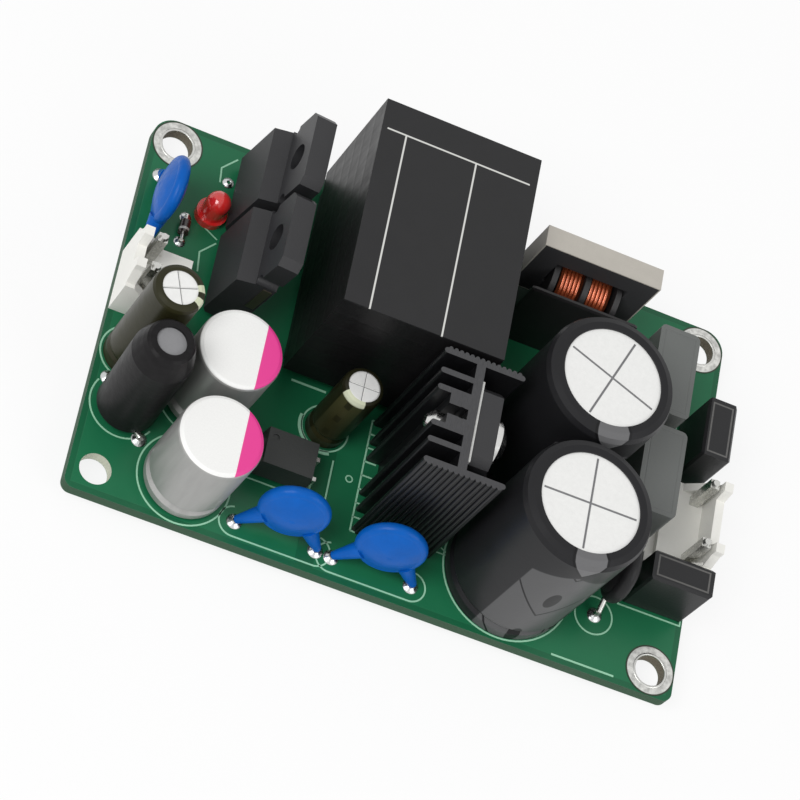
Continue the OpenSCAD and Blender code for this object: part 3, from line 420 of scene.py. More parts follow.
class BoardSettings(bpy.types.PropertyGroup):
    mask: colour("Solder mask", "Colour of the board's solder mask", 28, 106, 70)
    edge: colour("Board edge", "Colour of the cut glass fibre edge", 50, 80, 58)
    ink: colour("Print", "Colour of the printed outlines on the board", 158, 212, 180)
    line: length("Line width", "Width of a printed line", 0.2, 0.1, 0.5)
    ink_height: length("Ink height", "How far the ink stands above the board", 0.03, 0.01, 0.05)
    pad_radius: length("Pad radius", "Outer radius of an upper solder pad", 0.95, 0.6, 1.3)


class WoundSettings(bpy.types.PropertyGroup):
    tape: colour("Tape", "Colour of the tape round the transformer", 26, 25, 26)
    label: colour("Label", "Colour of the sheet on the transformer", 38, 38, 39)
    rule: colour("Rules", "Colour of the lines on that sheet", 214, 214, 210)
    copper: colour("Copper", "Colour of the enamelled wire", 168, 84, 50)
    wire: length("Wire", "Diameter of the choke wire", 0.46, 0.2, 0.8)
    band: colour("Band", "Colour of the band round the choke core", 186, 181, 172)
    ferrite: colour("Ferrite", "Colour of bare ferrite", 58, 58, 60)


class CapacitorSettings(bpy.types.PropertyGroup):
    sleeve: colour("Sleeve", "Colour of the large capacitor sleeves", 30, 30, 32)
    panel: colour("Panel", "Colour of the polarity panel on those sleeves", 84, 84, 85)
    olive: colour("Small sleeve", "Colour of the small capacitor sleeves", 42, 41, 23)
    stripe: colour("Stripe", "Colour of the polarity stripe on the small sleeves", 214, 218, 190)
    top: colour("Can top", "Colour of a bare can top", 240, 240, 238)
    polymer: colour("Print on a can", "Colour of the polarity segment on a bare can", 228, 60, 146)
    film: colour("Film case", "Colour of the film capacitor cases", 100, 103, 101)
    disc: colour("Disc coat", "Colour of the coating on the disc capacitors", 8, 90, 178)


class PartSettings(bpy.types.PropertyGroup):
    package: colour("Package", "Colour of the moulded power packages", 36, 36, 38)
    anodised: colour("Heatsink", "Colour of the anodised heatsink", 20, 20, 22)
    header: colour("Header", "Colour of the moulded headers", 240, 239, 233)
    lens: colour("Lens", "Colour of the lamp", 232, 46, 44)
    tin: colour("Tin", "Colour of tinned metal", 204, 204, 200)
    fuse: colour("Fuse", "Colour of the fuse cases", 25, 25, 27)


class StageSettings(bpy.types.PropertyGroup):
    floor: colour("Floor", "Colour of the floor", 244, 244, 244)
    key: power("Key", "Power of the large soft lamp", 3.6)
    fill: power("Fill", "Power of the fill lamp", 1.3)
    lens: bpy.props.FloatProperty(
        name="Lens", description="Focal length of the camera",
        subtype="DISTANCE_CAMERA", default=155.129, min=20,
    )


class SupplySettings(bpy.types.PropertyGroup):
    board: group(BoardSettings, "Board", "Board and its print")
    wound: group(WoundSettings, "Wound parts", "Transformer and choke")
    caps: group(CapacitorSettings, "Capacitors", "All the capacitors")
    parts: group(PartSettings, "Parts", "Packages, headers and fuses")
    stage: group(StageSettings, "Stage", "Camera, lamps and floor")


def settings():
    return bpy.context.scene.power_supply


def tinned(name, rough):
    """Tinned lead wire and posts."""
    return metal(name, settings().parts.tin[:], rough)


# ---------- operators ----------


def seen(tree):
    """1 for rays that show a surface, also in metal or through glass, and 0 for other light."""
    path = tree.nodes.new("ShaderNodeLightPath")
    camera, glossy, through = (
        Sock(tree, path.outputs[f"Is {ray} Ray"]) for ray in ("Camera", "Glossy", "Transmission")
    )
    return camera | glossy | through


class SUPPLY_OT_stage(bpy.types.Operator):
    """Camera, floor, lamps and background"""

    bl_idname = "supply.stage"
    bl_label = "Stage"

    def camera(self, s):
        data = bpy.data.cameras.new("camera")
        data.lens, data.sensor_width, data.clip_start = s.lens, 36.0, 0.01
        cam = bpy.data.objects.new("camera", data)
        cam.location = CAMERA_AT
        cam.rotation_euler = [math.radians(turn) for turn in CAMERA_TURN]
        bpy.context.scene.collection.objects.link(cam)
        bpy.context.scene.camera = cam

    def lamp(self, name, place, size, watts):
        data = bpy.data.lights.new(name, "AREA")
        data.shape, data.size, data.energy = "DISK", size, watts
        lamp = bpy.data.objects.new(name, data)
        lamp.location = place
        lamp.rotation_euler = (-Vector(place)).to_track_quat("-Z", "Y").to_euler()
        bpy.context.scene.collection.objects.link(lamp)

    def floor(self, s):
        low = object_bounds()[0][2]
        f = Finish("floor_finish", 0.75)
        drift = f.noise(60.0, 2.0)
        f.feed(color=f.vary(drift, s.floor[:], 0.99, 1.0))
        # most of what is seen is the floor's own glow, and the rest keeps the shadow
        glow = f.node("ShaderNodeEmission", inputs={"Color": (1, 1, 1, 1), "Strength": 1.0})
        lit = Sock(f.tree, f.bsdf.outputs[0])
        share = 0.85
        blend = f.node("ShaderNodeMixShader", inputs={0: seen(f.tree) * share, 1: lit, 2: glow})
        f.tree.links.new(blend.out, f.tree.nodes["Material Output"].inputs[0])
        mesh = bpy.data.meshes.new("floor")
        reach = 3.0
        corners = [(x * reach, y * reach, low) for x, y in ((-1, -1), (1, -1), (1, 1), (-1, 1))]
        mesh.from_pydata(corners, [], [(0, 1, 2, 3)])
        mesh.materials.append(f.mat)
        obj = bpy.data.objects.new("floor", mesh)
        bpy.context.scene.collection.objects.link(obj)
        obj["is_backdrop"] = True

    def world(self):
        world = bpy.data.worlds.new("world")
        bpy.context.scene.world = world
        world.use_nodes = True
        tree = world.node_tree
        back = tree.nodes["Background"]
        back.inputs["Color"].default_value = (1, 1, 1, 1)
        light, shown = 0.5, 0.95
        tree.links.new((seen(tree) * (shown - light) + light).out, back.inputs["Strength"])

    def execute(self, context):
        s = settings().stage
        self.camera(s)
        self.floor(s)
        self.world()
        self.lamp("key_lamp", (-0.45, -0.30, 0.62), 0.45, s.key)
        self.lamp("fill_lamp", (0.5, -0.35, 0.45), 0.5, s.fill)
        context.scene.view_settings.view_transform = "Standard"
        return {"FINISHED"}


def hole_mm():
    """How far the mounting holes are from the middle in x and in y, in millimetres."""
    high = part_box("mounting_lands")[1] / MM
    return high.x - LAND_R, high.y - LAND_R


class SUPPLY_OT_board(bpy.types.Operator):
    """Solder mask, lands and the leads that pass through the board"""

    bl_idname = "supply.board"
    bl_label = "Board"

    def mask(self, s):
        f = Finish("mask_finish", 0.36, coat=0.0, specular=0.3)
        x, y, z = f.point()
        drift, fine, weave = f.noise(9.0, 2.0), f.noise(0.5, 3.0), f.noise(2.4, 3.0)
        # copper areas end at the isolation gap and a little inside the edges
        gap_x, gap_half, margin, fade = -9.0, 1.1, 0.7, 0.1
        half_l, half_w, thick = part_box("pcb")[1] / MM
        inside = (half_l - abs(x)) & (half_w - abs(y))
        pour = abs(x - gap_x).soft(gap_half, gap_half + fade) & inside.soft(margin, margin + fade)
        tone = pour * 0.42 + drift * 0.4 + weave * 0.18
        green = f.vary(tone, s.mask[:], 0.62, 1.18)
        skin, rim, corner = 0.04, 0.05, 2.6
        edge = (z > skin) & (z < thick - skin)
        strands = f.noise(0.3, 3.0, (1.0, 1.0, 6.0))
        outer = (inside < rim) | (abs(x) + abs(y) > half_l + half_w - corner)
        # the holes are plated, but for the one at the front left; the plated walls are painted
        # darker than tin, a painted shade inside the holes
        plated, bare = paint(112, 106, 92), paint(206, 208, 192)
        bore = f.mix((x < 0.0) & (y < 0.0), plated, bare)
        cut = f.mix(outer, bore, f.vary(strands, s.edge[:], 0.75, 1.15))
        return f.feed(
            color=f.mix(edge, green, cut),
            rough=drift * 0.1 + fine * 0.06 + 0.24 + edge * 0.35,
            bump=pour * 0.7 + fine * 0.15 + edge * strands * 0.6,
            depth=0.018,
        )

    def land(self, tin):
        at_x, at_y = hole_mm()
        f = Finish("land_finish", 0.3, metallic=1.0)
        x, y, _ = f.point()
        dx, dy = abs(x) - at_x, abs(y) - at_y
        away = (dx * dx + dy * dy) ** 0.5
        ring = away.soft(LAND_R - 0.21, LAND_R - 0.15)
        rub = f.noise(0.6, 4.0)
        shine = f.vary(rub.soft(0.3, 0.7), tin, 0.76, 1.24)
        return f.feed(
            color=f.mix(ring, shine, paint(70, 78, 68)),
            rough=rub * 0.25 + 0.2 + ring * 0.2,
            bump=rub - ring * 0.8,
            depth=0.01,
        )

    def rims(self, tin):
        """Plated rims that close the ring between each land and its hole."""
        at_x, at_y = hole_mm()
        inner, proud, round_in = 2.25, 0.045, 0.06
        rim = [
            (BORE_R, 0.0), (inner, 0.0), (inner, proud),
            (BORE_R + round_in, proud), (BORE_R, proud * 0.4),
        ]
        bm = bmesh.new()
        for sx, sy in ((-1, 1), (1, 1), (1, -1)):
            for base in (-proud, TOP / MM):
                lathe(bm, rim, (sx * at_x, sy * at_y, base), steps=64)
        add_piece("land_rims", bm, metal("rim_finish", tin, 0.3))

    def execute(self, context):
        s, tin = settings().board, settings().parts.tin[:]
        dress("pcb", self.mask(s))
        dress("mounting_lands", self.land(tin))
        wire = tinned("wire_finish", 0.24)
        for node in (
            "wire_leads", "package_leads", "transformer_pins", "choke_pins", "header_posts",
        ):
            dress(node, wire)
        self.rims(tin)
        joint = metal("joint_finish", paint(196, 198, 200), 0.3, grain=0.9, depth=0.03)
        dress("solder_joints", joint)
        dress("post_joints", joint)
        return {"FINISHED"}


class SUPPLY_OT_print(bpy.types.Operator):
    """Printed outlines on the upper face of the board"""

    bl_idname = "supply.outlines"
    bl_label = "Board print"

    def execute(self, context):
        s = settings().board
        low, high, wide = TOP, TOP + s.ink_height, s.line / MM
        bm = bmesh.new()

        def line(*points, width=wide, closed=False):
            ribbon(bm, points, width, low, high, closed)

        def ring(node, gap, start=0.0, end=360.0, width=wide):
            centre, size = centre_mm(node)
            points = arc(centre.x, centre.y, size.x / 2 + gap, start, end)
            line(*points, width=width, closed=abs(end - start) >= 360)

        for node in ("bulk_sleeve_1", "bulk_sleeve_2"):
            ring(node, 0.22)
        for node in ("polymer_can_1", "polymer_can_2"):
            ring(node, 0.6)
        ring("supply_sleeve", 0.4)
        ring("supply_sleeve", 0.62, 165, 290, width=0.5)
        ring("tall_sleeve", 0.35)
        line(*arc(INDUCTOR_AT[0], INDUCTOR_AT[1] + 0.45, 4.13, 150, 330))
        line(*arc(26.8, THERMISTOR_Y - THERMISTOR_REACH - 0.05, 2.4), closed=True)
        line(*arc(-5.8, -12.15, 0.4), width=0.16, closed=True)
        # transformer mark, heatsink comb and arrow, rectifier corners
        line((-15.1, -2.4), (-10.7, -2.4), width=0.28)
        comb_x, comb_low, comb_high = -4.45, -18.45, -3.7
        line((comb_x, comb_low), (comb_x, comb_high))
        ticks = 8
        for i in range(ticks + 1):
            y = comb_low + (comb_high - comb_low) * i / ticks
            line((comb_x, y), (comb_x + 1.5, y))
        line((5.2, -15.6), (8.1, -17.2), (5.2, -17.2), closed=True)
        line((-27.4, 23.4), (-29.1, 21.5), (-28.9, 19.5))
        line((-27.6, 11.3), (-29.3, 9.4), (-29.0, 6.8))
        line((-27.6, 11.8), (-29.6, 12.9), width=0.16)
        # optocoupler box and the isolation line beside it
        line((-18.6, -11.4), (-10.2, -11.4), (-10.2, -16.6), (-18.6, -16.6), closed=True)
        line((-8.1, -10.6), (-8.1, -19.2), width=0.2)
        # rounded boxes round the disc capacitors at the front edge
        for x, y in DISC_AT:
            left = arc(x - DISC_REACH, y, 1.85, 100, 270)
            right = arc(x + DISC_REACH, y, 1.85, -90, 80)
            line(*left, *right)
        line((22.4, -24.6), (30.5, -24.6), width=0.24)
        # boxes round the fuses and film capacitors, and a line behind each header
        last_x = 37.8
        for kind, grow in (("fuse", 0.35), ("film_capacitor", 0.3)):
            for i in (1, 2):
                a, b = (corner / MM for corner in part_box(f"{kind}_{i}"))
                x0, y0, x1, y1 = a.x - grow, a.y - grow, min(b.x + grow, last_x), b.y + grow
                line((x0, y0), (x1, y0), (x1, y1), (x0, y1), closed=True)
        for node, side in (("output_header", -1), ("input_header", 1)):
            a, b = (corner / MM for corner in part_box(node))
            x = (a.x if side > 0 else b.x) - side * 0.25
            line((x, a.y - 0.3), (x, b.y + 0.3))
        f = Finish("ink_finish", 0.55)
        wear, fine = f.noise(2.2, 3.0), f.noise(0.18, 3.0)
        ink = f.vary(wear * 0.5 + fine * 0.5, s.ink[:], 0.8, 1.12)
        f.feed(color=ink, bump=fine, depth=0.008)
        add_piece("board_print", bm, f, smooth=False)
        return {"FINISHED"}


class SUPPLY_OT_pads(bpy.types.Operator):
    """Solder pads on the upper face, where bare leads enter the board"""

    bl_idname = "supply.pads"
    bl_label = "Upper pads"

    def execute(self, context):
        outer, top = settings().board.pad_radius / MM, TOP / MM
        thermistor, _ = centre_mm("thermistor")
        diode, _ = centre_mm("small_diode")
        turn = math.radians(INDUCTOR_TURN)
        spots, small_spots = [], [RECTIFIER_LEAD_AT]
        for side in (-1, 1):
            reach = side * INDUCTOR_REACH
            spots += [
                (INDUCTOR_AT[0] + reach * math.cos(turn), INDUCTOR_AT[1] + reach * math.sin(turn)),
                (thermistor.x, THERMISTOR_Y + side * THERMISTOR_REACH),
                (SIDE_DISC_AT[0], SIDE_DISC_AT[1] + side * DISC_REACH),
                *((x + side * DISC_REACH, y) for x, y in DISC_AT),
            ]
            small_spots.append((diode.x, diode.y + side * DIODE_REACH))
        # each profile is a flat pad with a fillet of solder that climbs the lead
        large = [(0.34, 0), (outer, 0), (outer, 0.04), (0.62, 0.12), (0.42, 0.32), (0.34, 0.34)]
        small = [(0.24, 0), (0.72, 0), (0.72, 0.04), (0.45, 0.1), (0.3, 0.24), (0.24, 0.25)]
        bm = bmesh.new()
        for places, profile, steps in ((spots, large, 32), (small_spots, small, 28)):
            for x, y in places:
                lathe(bm, profile, (x, y, top), steps=steps)
        shine = metal("pad_finish", paint(206, 208, 208), 0.22, grain=0.6, depth=0.02)
        add_piece("upper_pads", bm, shine)
        return {"FINISHED"}


class SUPPLY_OT_transformer(bpy.types.Operator):
    """Tape, sheet, core, bobbin and winding of the transformer"""

    bl_idname = "supply.transformer"
    bl_label = "Transformer"

    def tape(self, s):
        top = top_mm("transformer_wrap")
        f = Finish("tape_finish", 0.36, specular=0.2)
        z = f.point()[2]
        crease = f.noise(1.2, 3.0, (1.0, 1.0, 0.3))
        layers = ((z * 2.1 + crease * 0.5).sin() * 0.5 + 0.5) ** 6
        # the top half millimetre of the tape is painted lighter: a painted highlight along its
        # upper edge
        rim = z.soft(top - 0.5, top)
        return f.feed(
            color=f.vary(crease * 0.5 + rim * 0.35, s.tape[:], 0.75, 1.35),
            rough=crease * 0.2 + 0.28,
            bump=layers * 0.4 + crease * 0.6,
            depth=0.05,
        )

    def sheet(self, s):
        a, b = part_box("transformer_label")
        rule_y, rule_x, half, fade = 21.3, (-13.8, -4.9), 0.08, 0.05
        f = Finish("sheet_finish", 0.42, specular=0.25)
        x, y, _ = f.point()
        # one rule across the sheet, and two that run from it to the front
        across = 1 - abs(y - rule_y).soft(half, half + fade)
        across = across * (x > a.x / MM + 0.7) * (x < b.x / MM - 0.9)
        down = 1 - (abs(x - rule_x[0]) & abs(x - rule_x[1])).soft(half, half + fade)
        wear, fine = f.noise(2.5, 4.0), f.noise(0.2, 3.0)
        rules = (across | (down * (y < rule_y))) * (1 - wear.soft(0.68, 0.8) * 0.5)
        paper = f.vary(wear * 0.6 + fine * 0.4, s.label[:], 0.85, 1.15)
        return f.feed(
            color=f.mix(rules, paper, s.rule[:]),
            rough=wear * 0.16 + 0.34, bump=wear * 0.6 + fine * 0.2, depth=0.03,
        )

    def execute(self, context):
        s = settings().wound
        dress("transformer_wrap", self.tape(s))
        dress("transformer_label", self.sheet(s))
        dress("transformer_core", moulded("core_finish", s.ferrite[:], 0.6, 0.35, 0.02))
        dress("transformer_bobbin", moulded("bobbin_finish", paint(26, 26, 28), 0.4))
        coil = metal("coil_finish", s.copper[:], 0.3, (0.2, 0.2, 6.0), 0.5, 0.05)
        dress("transformer_winding", coil)
        return {"FINISHED"}


class SUPPLY_OT_choke(bpy.types.Operator):
    """Copper turns, core, band and bobbin of the choke"""

    bl_idname = "supply.choke"
    bl_label = "Choke"

    def turns(self, s, centre, size):
        """Two coils of round wire side by side, each over a sleeve of the same copper."""
        wire, half_gap, margin, clear, steps = s.wire / MM, 0.35, 3.3, 0.02, 44
        radius = size.z / 2 - wire / 2
        under, sleeve = radius - wire * 0.35, 0.6
        bm = bmesh.new()
        for start, end in ((-margin, -half_gap), (half_gap, margin)):
            count = int((end - start - 2 * clear) / wire) - 1
            pitch = (end - start - wire - 2 * clear) / count
            points = []
            for i in range(count * steps + 1):
                angle = 2 * math.pi * i / steps + 0.6
                x = start + clear + wire / 2 + pitch * i / steps
                around = (x, radius * math.cos(angle), radius * math.sin(angle))
                points.append(centre + Vector(around))
            tube(bm, points, wire / 2 * 1.04)
            a, b, core = start + 0.03, end - 0.03, under - sleeve
            lathe(bm, [(under, a), (under, b), (core, b), (core, a)], centre, "X", 40)
        f = Finish("enamel_finish", 0.26, metallic=0.72, coat=0.5)
        drift, fine = f.noise(1.6, 3.0), f.noise(0.3, 3.0)
        f.feed(
            color=f.vary(drift * 0.7 + fine * 0.3, s.copper[:], 0.7, 1.3),
            rough=drift * 0.2 + 0.18, bump=fine, depth=0.006,
        )
        add_piece("choke_turns", bm, f, ("choke_windings",))

    def execute(self, context):
        s = settings().wound
        centre, size = centre_mm("choke_windings")
        self.turns(s, centre, size)
        # the choke's ferrite is the transformer's ferrite painted darker: painted shade
        ferrite = shade(s.ferrite[:], 0.75)
        dress("choke_core", moulded("choke_core_finish", ferrite, 0.55, 0.3, 0.02))
        g = Finish("band_finish", 0.5)
        fold, fine = g.noise(1.8, 3.0), g.noise(0.16, 4.0)
        g.feed(
            color=g.vary(fold * 0.6 + fine * 0.4, s.band[:], 0.86, 1.08),
            rough=fold * 0.2 + 0.4, bump=fold * 0.8 + fine * 0.2, depth=0.04,
        )
        dress("choke_band", g)
        black = moulded("choke_bobbin_finish", paint(30, 29, 30), 0.42)
        dress("choke_bobbin", black)
        self.shield(centre, black)
        return {"FINISHED"}

    def shield(self, centre, black):
        """Front wall of the bobbin, which covers the lower half of the turns."""
        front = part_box("choke_bobbin")[0].y / MM
        half, wall, top, foot, lip, clear = 6.9, 0.6, 13.6, TOP / MM + 0.02, 0.35, 0.02
        back, mid_y = front - wall, front - wall / 2
        profile = [
            (back, foot), (front - clear, foot), (front - clear, top - lip),
            (front - clear - lip * 0.4, top), (back + lip * 0.4, top), (back, top - lip),
        ]
        # the wall is thinner and lower at both ends, by the share given with each place
        rings = []
        bm = bmesh.new()
        for x, less in ((-half, 0.25), (-half + lip, 0.0), (half - lip, 0.0), (half, 0.25)):
            ring = []
            for y, z in profile:
                y = mid_y + (y - mid_y) * (1 - less)
                z = z - (less * 0.6 if z > foot else 0)
                ring.append(bm.verts.new(Vector((centre.x + x, y, z)) * MM))
            rings.append(ring)
        n = len(profile)
        for a, b in zip(rings, rings[1:]):
            for k in range(n):
                bm.faces.new((a[k], a[(k + 1) % n], b[(k + 1) % n], b[k]))
        bm.faces.new(rings[0])
        bm.faces.new(rings[-1][::-1])
        add_piece("choke_shield", bm, black, smooth=False)


def turned(x, y, degrees):
    """Coordinates along and across a direction given in degrees."""
    c, s = math.cos(math.radians(degrees)), math.sin(math.radians(degrees))
    return x * c + y * s, y * c - x * s


def can_finish(name, node, print_turn, s, reach):
    """Bare can: spun side, satin top, dark score lines on the vent."""
    centre, size = centre_mm(node)
    top = top_mm(node)
    f = Finish(name, 0.36, metallic=0.15)
    x, y, z = f.point()
    x, y = x - centre.x, y - centre.y
    u, v = turned(x, y, print_turn)
    away = (x * x + y * y) ** 0.5
    half = 0.011 * size.x
    cross = (1 - (abs(u) & abs(v)).soft(half * 0.5, half)) * (1 - away.soft(reach, reach + 0.1))
    upper = z > top - 0.4
    spun, fine = f.noise(0.5, 2.0, (1.0, 1.0, 0.2)), f.noise(0.15, 3.0)
    plain = f.vary(spun * 0.6 + fine * 0.4, s.top[:], 0.88, 1.04)
    return f.feed(
        color=f.mix(cross * upper, plain, paint(128, 128, 130)),
        rough=spun * 0.16 + 0.26 + cross * 0.2,
        bump=fine * 0.3 - cross * upper,
        depth=0.03,
    )


class SUPPLY_OT_bulk(bpy.types.Operator):
    """Sleeves and cans of the two large capacitors"""

    bl_idname = "supply.bulk"
    bl_label = "Large capacitors"

    def sleeve(self, name, node, s):
        centre, size = centre_mm(node)
        top, azimuth, band_half = top_mm(node), -80.0, 0.6
        f = Finish(name, 0.34, specular=0.2)
        x, y, z = f.point()
        along, across = turned(x - centre.x, y - centre.y, azimuth)
        off = abs(across.angle(along))
        arc_mm = off * (size.x / 2)
        band = 1 - off.soft(band_half, band_half + 0.02)
        panel_top = top - 3.4
        panel = band * (1 - (z + arc_mm * 0.5).soft(panel_top, panel_top + 0.3))
        # minus sign, then a wide chevron below it
        step, shift, dash_w, dash_h, dash_at = 10.5, 3.6, 0.8, 1.9, 6.6
        level = (z + shift) % step
        dash_u, dash_v = arc_mm / dash_w, (level - dash_at) / dash_h
        dash = 1 - (dash_u * dash_u + dash_v * dash_v).soft(0.9, 1.1)
        chevron_at, chevron_slope = 2.2, 1.15
        peak = level - chevron_at - arc_mm * chevron_slope
        chevron = 1 - abs(peak).soft(0.14, 0.22)
        # arrow head that points down from the rim
        head_low, head_slope = top - 2.7, 0.85
        tip = (z - head_low) * head_slope - arc_mm
        head = tip.soft(0.0, 0.1)
        head_line = 1 - abs(tip + 0.2).soft(0.12, 0.2)
        head_line = head_line * (z > head_low - 0.6) * (1 - head) * band
        marks = ((dash | chevron) & panel) | head_line
        wear, fine = f.noise(3.0, 3.0), f.noise(0.2, 3.0)
        drift = wear * 0.6 + fine * 0.4
        dark = f.vary(drift, s.sleeve[:], 0.85, 1.18)
        pale = f.vary(drift, s.panel[:], 0.92, 1.08)
        plain = f.mix(head, f.mix(panel, dark, pale), shade(s.panel[:], 1.6))
        return f.feed(
            color=f.mix(marks, plain, shade(s.sleeve[:], 0.5)),
            rough=wear * 0.18 + 0.27,
            bump=wear * 0.7 + fine * 0.12 + marks * 0.1,
            depth=0.035,
        )

    def execute(self, context):
        s = settings().caps
        for i, turn in ((1, 69.0), (2, 0.0)):
            sleeve, can = f"bulk_sleeve_{i}", f"bulk_can_{i}"
            dress(sleeve, self.sleeve(f"bulk_sleeve_finish_{i}", sleeve, s))
            dress(can, can_finish(f"bulk_can_finish_{i}", can, turn, s, 5.7))
        return {"FINISHED"}


class SUPPLY_OT_small_cans(bpy.types.Operator):
    """The polymer, supply and tall capacitors"""

    bl_idname = "supply.small_cans"
    bl_label = "Small cans"

    def polymer(self, name, node, s):
        centre, _ = centre_mm(node)
        top = top_mm(node)
        f = Finish(name, 0.45, metallic=0.6)
        x, _, z = f.point()
        lacquer_from, segment_from, edge = top - 0.32, 2.36, 0.08
        upper = z.soft(lacquer_from, lacquer_from + edge)
        segment = (x - centre.x).soft(segment_from, segment_from + edge) * upper
        spun, fine = f.noise(0.9, 3.0, (1.0, 1.0, 0.15)), f.noise(0.2, 3.0)
        steel = f.mix(spun, paint(150, 150, 148), paint(176, 176, 174))
        lacquer = f.vary(fine, s.top[:], 0.96, 1.08)
        return f.feed(
            color=f.mix(segment, f.mix(upper, steel, lacquer), s.polymer[:]),
            metallic=(1 - upper) * 0.6,
            rough=spun * 0.12 + 0.42,
            bump=fine * 0.3 - segment * 0.2,
            depth=0.01,
        )

    def sleeve(self, name, node, s, azimuth, half, painted_shade):
        centre, _ = centre_mm(node)
        top = top_mm(node)
        f = Finish(name, 0.34, specular=0.2)
        x, y, z = f.point()
        along, across = turned(x - centre.x, y - centre.y, azimuth)
        off = abs(across.angle(along))
        stripe = 1 - off.soft(half, half + 0.03)
        step, dash_from, dash_to, dash_half = 3.4, 1.0, 2.3, 0.14
        dash = (z % step).between(dash_from, dash_to, 0.1)
        dash = dash * stripe * (1 - off.soft(dash_half, dash_half + 0.03))
        wear = f.noise(1.5, 3.0)
        # the brightness factor darkens the whole sleeve and its stripe as painted shade, to 0.6 for
        # the supply capacitor
        base = f.vary(wear, s.olive[:], 0.8 * painted_shade, 1.2 * painted_shade)
        # below the rim the stripe is painted as olive, lighter towards the top as a painted
        # highlight and darker further down as painted shade; its own pale colour shows only at the
        # rim
        side = f.vary(wear, s.olive[:], 1.7 * painted_shade, 2.5 * painted_shade)
        painted_highlight = f.vary(wear, s.olive[:], 3.0 * painted_shade, 4.6 * painted_shade)
        rim = f.vary(wear, s.stripe[:], 0.85, 1.0)
        pale = f.mix(z.soft(top - 7.5, top - 1.0), side, painted_highlight)
        pale = f.mix(z.soft(top - 0.9, top - 0.7), pale, rim)
        return f.feed(
            color=f.mix(dash, f.mix(stripe, base, pale), shade(s.olive[:], 0.9)),
            rough=wear * 0.16 + 0.26, bump=wear, depth=0.02,
        )

    def execute(self, context):
        s = settings().caps
        for node in ("polymer_can_1", "polymer_can_2"):
            dress(node, self.polymer(node + "_finish", node, s))
        dress("polymer_seals", moulded("seal_finish", paint(32, 31, 31), 0.7))
        # the last number of each row darkens that sleeve as painted shade
        for sleeve, can, turn, azimuth, half, painted_shade in (
            ("tall_sleeve", "tall_can", 20.0, 0.0, 0.5, 1.0),
            ("supply_sleeve", "supply_can", 0.0, -112.0, 0.62, 0.6),
        ):
            dress(sleeve, self.sleeve(sleeve + "_finish", sleeve, s, azimuth, half, painted_shade))
            dress(can, can_finish(can + "_finish", can, turn, s, 2.0))
        return {"FINISHED"}


class SUPPLY_OT_films(bpy.types.Operator):
    """The moulded cases of the film capacitors"""

    bl_idname = "supply.films"
    bl_label = "Film capacitors"

    def execute(self, context):
        s = settings().caps
        for i in (1, 2):
            node = f"film_capacitor_{i}"
            centre, size = centre_mm(node)
            top = top_mm(node)
            f = Finish(node + "_finish", 0.42, coat=0.05)
            x, y, z = f.point()
            inside = (size.x / 2 - abs(x - centre.x)) & (size.y / 2 - abs(y - centre.y))
            inset, line_w = 0.5, 0.16
            line = inside.between(inset, inset + line_w, 0.06) * (z > top - 0.02)
            drift, fine = f.noise(5.0, 2.0), f.noise(0.14, 4.0)
            f.feed(
                color=f.vary(drift * 0.5 + fine * 0.5 - line * 0.25, s.film[:], 0.86, 1.12),
                rough=drift * 0.14 + fine * 0.08 + 0.3, bump=fine * 0.5 - line, depth=0.025,
            )
            dress(node, f)
        return {"FINISHED"}


class SUPPLY_OT_inductor(bpy.types.Operator):
    """Shrunk sleeve and bare core end of the inductor"""

    bl_idname = "supply.inductor"
    bl_label = "Inductor"

    def execute(self, context):
        centre, _ = centre_mm("inductor_sleeve")
        f = Finish("shrink_finish", 0.4, specular=0.12)
        x, y, z = f.point()
        around = (y - centre.y).angle(x - centre.x)
        pleats, shrunk_from, shrunk_to = 17.0, 13.5, 16.5
        pleat = ((around * pleats).sin() * 0.5 + 0.5) * z.soft(shrunk_from, shrunk_to)
        wear = f.noise(1.0, 3.0)
        f.feed(
            color=f.mix(wear, paint(18, 17, 18), paint(32, 31, 32)),
            rough=wear * 0.2 + 0.3, bump=pleat * 0.3 + wear * 0.7, depth=0.06,
        )
        dress("inductor_sleeve", f)
        end = moulded("core_end_finish", paint(132, 132, 134), 0.6, 0.3, 0.03, 0.18)
        dress("inductor_core", end)
        return {"FINISHED"}


class SUPPLY_OT_packages(bpy.types.Operator):
    """The power packages, their frame ends, pad and screw"""

    bl_idname = "supply.packages"
    bl_label = "Power packages"

    def execute(self, context):
        s = settings().parts
        for node in ("rectifier_1", "rectifier_2", "switch_transistor"):
            top = top_mm(node)
            f = Finish(node + "_finish", 0.5)
            z = f.point()[2]
            fine, drift = f.noise(0.16, 4.0), f.noise(3.0, 2.0)
            tab_from = top - 6.2
            smooth = z.soft(tab_from, tab_from + 0.4)
            f.feed(
                color=f.vary(drift * 0.5 + fine * 0.5, s.package[:], 0.8, 1.3),
                rough=0.52 + fine * 0.14 - smooth * 0.14,
                bump=fine * (1 - smooth * 0.6),
                depth=0.03,
            )
            dress(node, f)
        dress("package_strips", metal("strip_finish", paint(124, 116, 100), 0.4))
        g = Finish("pad_sheet_finish", 0.6)
        weave, fine = g.noise(0.5, 2.0, (1.0, 3.0, 1.0)), g.noise(0.2, 3.0)
        white = g.mix(weave, paint(222, 222, 218), paint(240, 240, 238))
        g.feed(color=white, bump=weave * 0.6 + fine * 0.3, depth=0.02)
        dress("thermal_pad", g)
        screw = metal("screw_finish", paint(214, 214, 212), 0.2, grain=0.6, depth=0.012)
        dress("heatsink_screw", screw)
        return {"FINISHED"}


